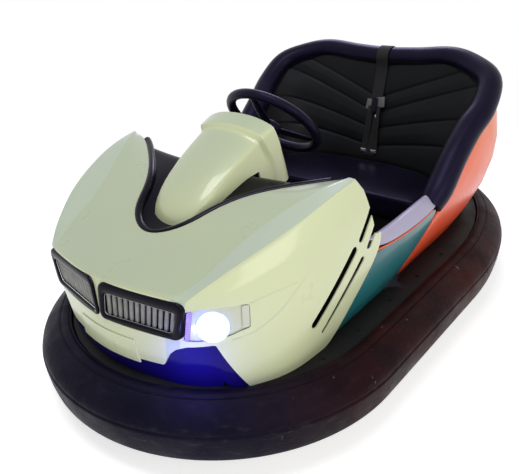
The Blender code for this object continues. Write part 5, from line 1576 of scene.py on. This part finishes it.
class BUMPERCAR_OT_stage(bpy.types.Operator):
    """Floor, lights and camera"""

    bl_idname = "bumpercar.stage"
    bl_label = "Stage"

    # Camera, fitted to the photograph
    PLACE = (1.14186, -1.60678, 1.20995)
    AZIMUTH = math.radians(40.49)
    ELEVATION = math.radians(26.02)
    ROLL = math.radians(-3.04)
    LENS = 41.618

    def execute(self, context):
        settings = context.scene.bumper_car_stage
        self.floor(settings)
        self.lights(settings)
        self.world(context.scene)
        self.camera(context.scene)
        return {"FINISHED"}

    def floor(self, settings):
        deselect()
        bpy.ops.mesh.primitive_plane_add(size=60, location=(0, 0, -0.0005))
        floor = bpy.context.object
        floor.name = "floor"
        f = Finish("Floor")
        mottle = f.span(f.noise(2, 3), 0.3, 0.7, 0.0, 0.05)
        tone = f.blend(mottle, tuple(settings.floor_colour), (0.8, 0.8, 0.8))
        f.put(Base_Color=tone, Roughness=0.8, Emission_Color=(1.0, 1.0, 1.0), Emission_Strength=0.66)
        self.fade_to_white(f)
        floor.data.materials.append(f.material)

    def fade_to_white(self, f):
        """Far from the car the floor is plain white, so that it has no horizon."""
        away = f.node("ShaderNodeVectorMath", {0: f.place}, operation="LENGTH").outputs["Value"]
        white = f.node("ShaderNodeEmission", {"Color": (1, 1, 1), "Strength": 1.0})
        sockets = {0: f.span(away, 1.3, 2.6), 1: f.surface.outputs["BSDF"], 2: white.outputs[0]}
        f.set(f.output.inputs["Surface"], f.node("ShaderNodeMixShader", sockets).outputs[0])

    def lights(self, settings):
        for name, place, aim, size, power, tint in (
            ("key", (0.3, -1.3, 3.4), (0, -0.3, 0.3), (1.8, 1.2), settings.key_power, (1.0, 1.0, 0.95)),
            ("fill", (2.9, -1.5, 1.7), (0.2, -0.2, 0.3), (2.2, 1.9), settings.fill_power, (1.0, 0.95, 0.86)),
            ("rear", (-1.2, 2.2, 2.5), (0, 0.4, 0.6), (1.4, 0.9), settings.rear_power, (0.70, 0.62, 1.0)),
            ("headlamp_glow", (0.300, -0.930, 0.345), (0.27, -0.80, 0.29), (0.06, 0.03), 0.30,
             (0.16, 0.16, 1.0)),
        ):
            lamp = bpy.data.lights.new(name, "AREA")
            lamp.shape = "RECTANGLE"
            lamp.size, lamp.size_y = size
            lamp.energy = power
            lamp.color = tint
            holder = bpy.data.objects.new(name, lamp)
            bpy.context.scene.collection.objects.link(holder)
            holder.matrix_world = pose_at(place, Vector(place) - Vector(aim))

    def world(self, scene):
        """Plain white to the camera and in reflections, and a dim room as a light."""
        scene.view_settings.view_transform = "Standard"
        scene.world = bpy.data.worlds.new("Room")
        scene.world.use_nodes = True
        tree = Nodes(scene.world.node_tree)
        room = tree.node("ShaderNodeBackground", {"Color": (0.80, 0.84, 0.92), "Strength": 0.22})
        plain = tree.node("ShaderNodeBackground", {"Color": (1, 1, 1)})
        rays = tree.node("ShaderNodeLightPath", {}).outputs
        seen = rays["Is Camera Ray"]
        for kind in ("Is Glossy Ray", "Is Transmission Ray"):
            seen = tree.sums("MAXIMUM", seen, rays[kind])
        mixer = tree.node("ShaderNodeMixShader", {0: seen, 1: room.outputs[0], 2: plain.outputs[0]})
        tree.node("ShaderNodeOutputWorld", {"Surface": mixer.outputs[0]})

    def camera(self, scene):
        """The camera, from its place, its two angles and its roll."""
        lens = bpy.data.cameras.new("view")
        lens.sensor_width = 36
        lens.lens = self.LENS
        camera = bpy.data.objects.new("view", lens)
        scene.collection.objects.link(camera)
        az, el, roll = self.AZIMUTH, self.ELEVATION, self.ROLL
        back = Vector((math.sin(az) * math.cos(el), -math.cos(az) * math.cos(el), math.sin(el)))
        right = (-back).cross(Vector((0, 0, 1))).normalized()
        up = right.cross(-back)
        turn_right = right * math.cos(roll) + up * math.sin(roll)
        turn_up = -right * math.sin(roll) + up * math.cos(roll)
        pose = Matrix((turn_right, turn_up, back)).transposed().to_4x4()
        pose.translation = self.PLACE
        camera.matrix_world = pose
        scene.camera = camera


PIECES = (
    BUMPERCAR_OT_tyre, BUMPERCAR_OT_rim, BUMPERCAR_OT_bonnet, BUMPERCAR_OT_chin, BUMPERCAR_OT_intake,
    BUMPERCAR_OT_grilles, BUMPERCAR_OT_lamps, BUMPERCAR_OT_dash, BUMPERCAR_OT_cowl, BUMPERCAR_OT_wheel,
    BUMPERCAR_OT_sides, BUMPERCAR_OT_rear, BUMPERCAR_OT_roll, BUMPERCAR_OT_back, BUMPERCAR_OT_cushion,
    BUMPERCAR_OT_belt, BUMPERCAR_OT_machine, BUMPERCAR_OT_stage,
)


class BUMPERCAR_PT_pieces(bpy.types.Panel):
    """Lists the pieces and their sizes"""

    bl_idname = "BUMPERCAR_PT_pieces"
    bl_label = "Bumper Car"
    bl_space_type = "VIEW_3D"
    bl_region_type = "UI"
    bl_category = "Bumper Car"

    def draw(self, context):
        for piece in PIECES:
            self.layout.operator(piece.bl_idname)
        for group in (context.scene.bumper_car_paint, context.scene.bumper_car_trim,
                      context.scene.bumper_car_stage):
            for name in group.__annotations__:
                self.layout.prop(group, name)


SETTINGS = (PaintSettings, TrimSettings, StageSettings)


def register():
    for item in (*SETTINGS, *PIECES, BUMPERCAR_PT_pieces):
        bpy.utils.register_class(item)
    bpy.types.Scene.bumper_car_paint = bpy.props.PointerProperty(type=PaintSettings)
    bpy.types.Scene.bumper_car_trim = bpy.props.PointerProperty(type=TrimSettings)
    bpy.types.Scene.bumper_car_stage = bpy.props.PointerProperty(type=StageSettings)


def unregister():
    del bpy.types.Scene.bumper_car_stage
    del bpy.types.Scene.bumper_car_trim
    del bpy.types.Scene.bumper_car_paint
    for item in reversed((*SETTINGS, *PIECES, BUMPERCAR_PT_pieces)):
        bpy.utils.unregister_class(item)


def main():
    register()
    for piece in PIECES:
        group, _, name = piece.bl_idname.partition(".")
        getattr(getattr(bpy.ops, group), name)()


if __name__ == "__main__":
    main()
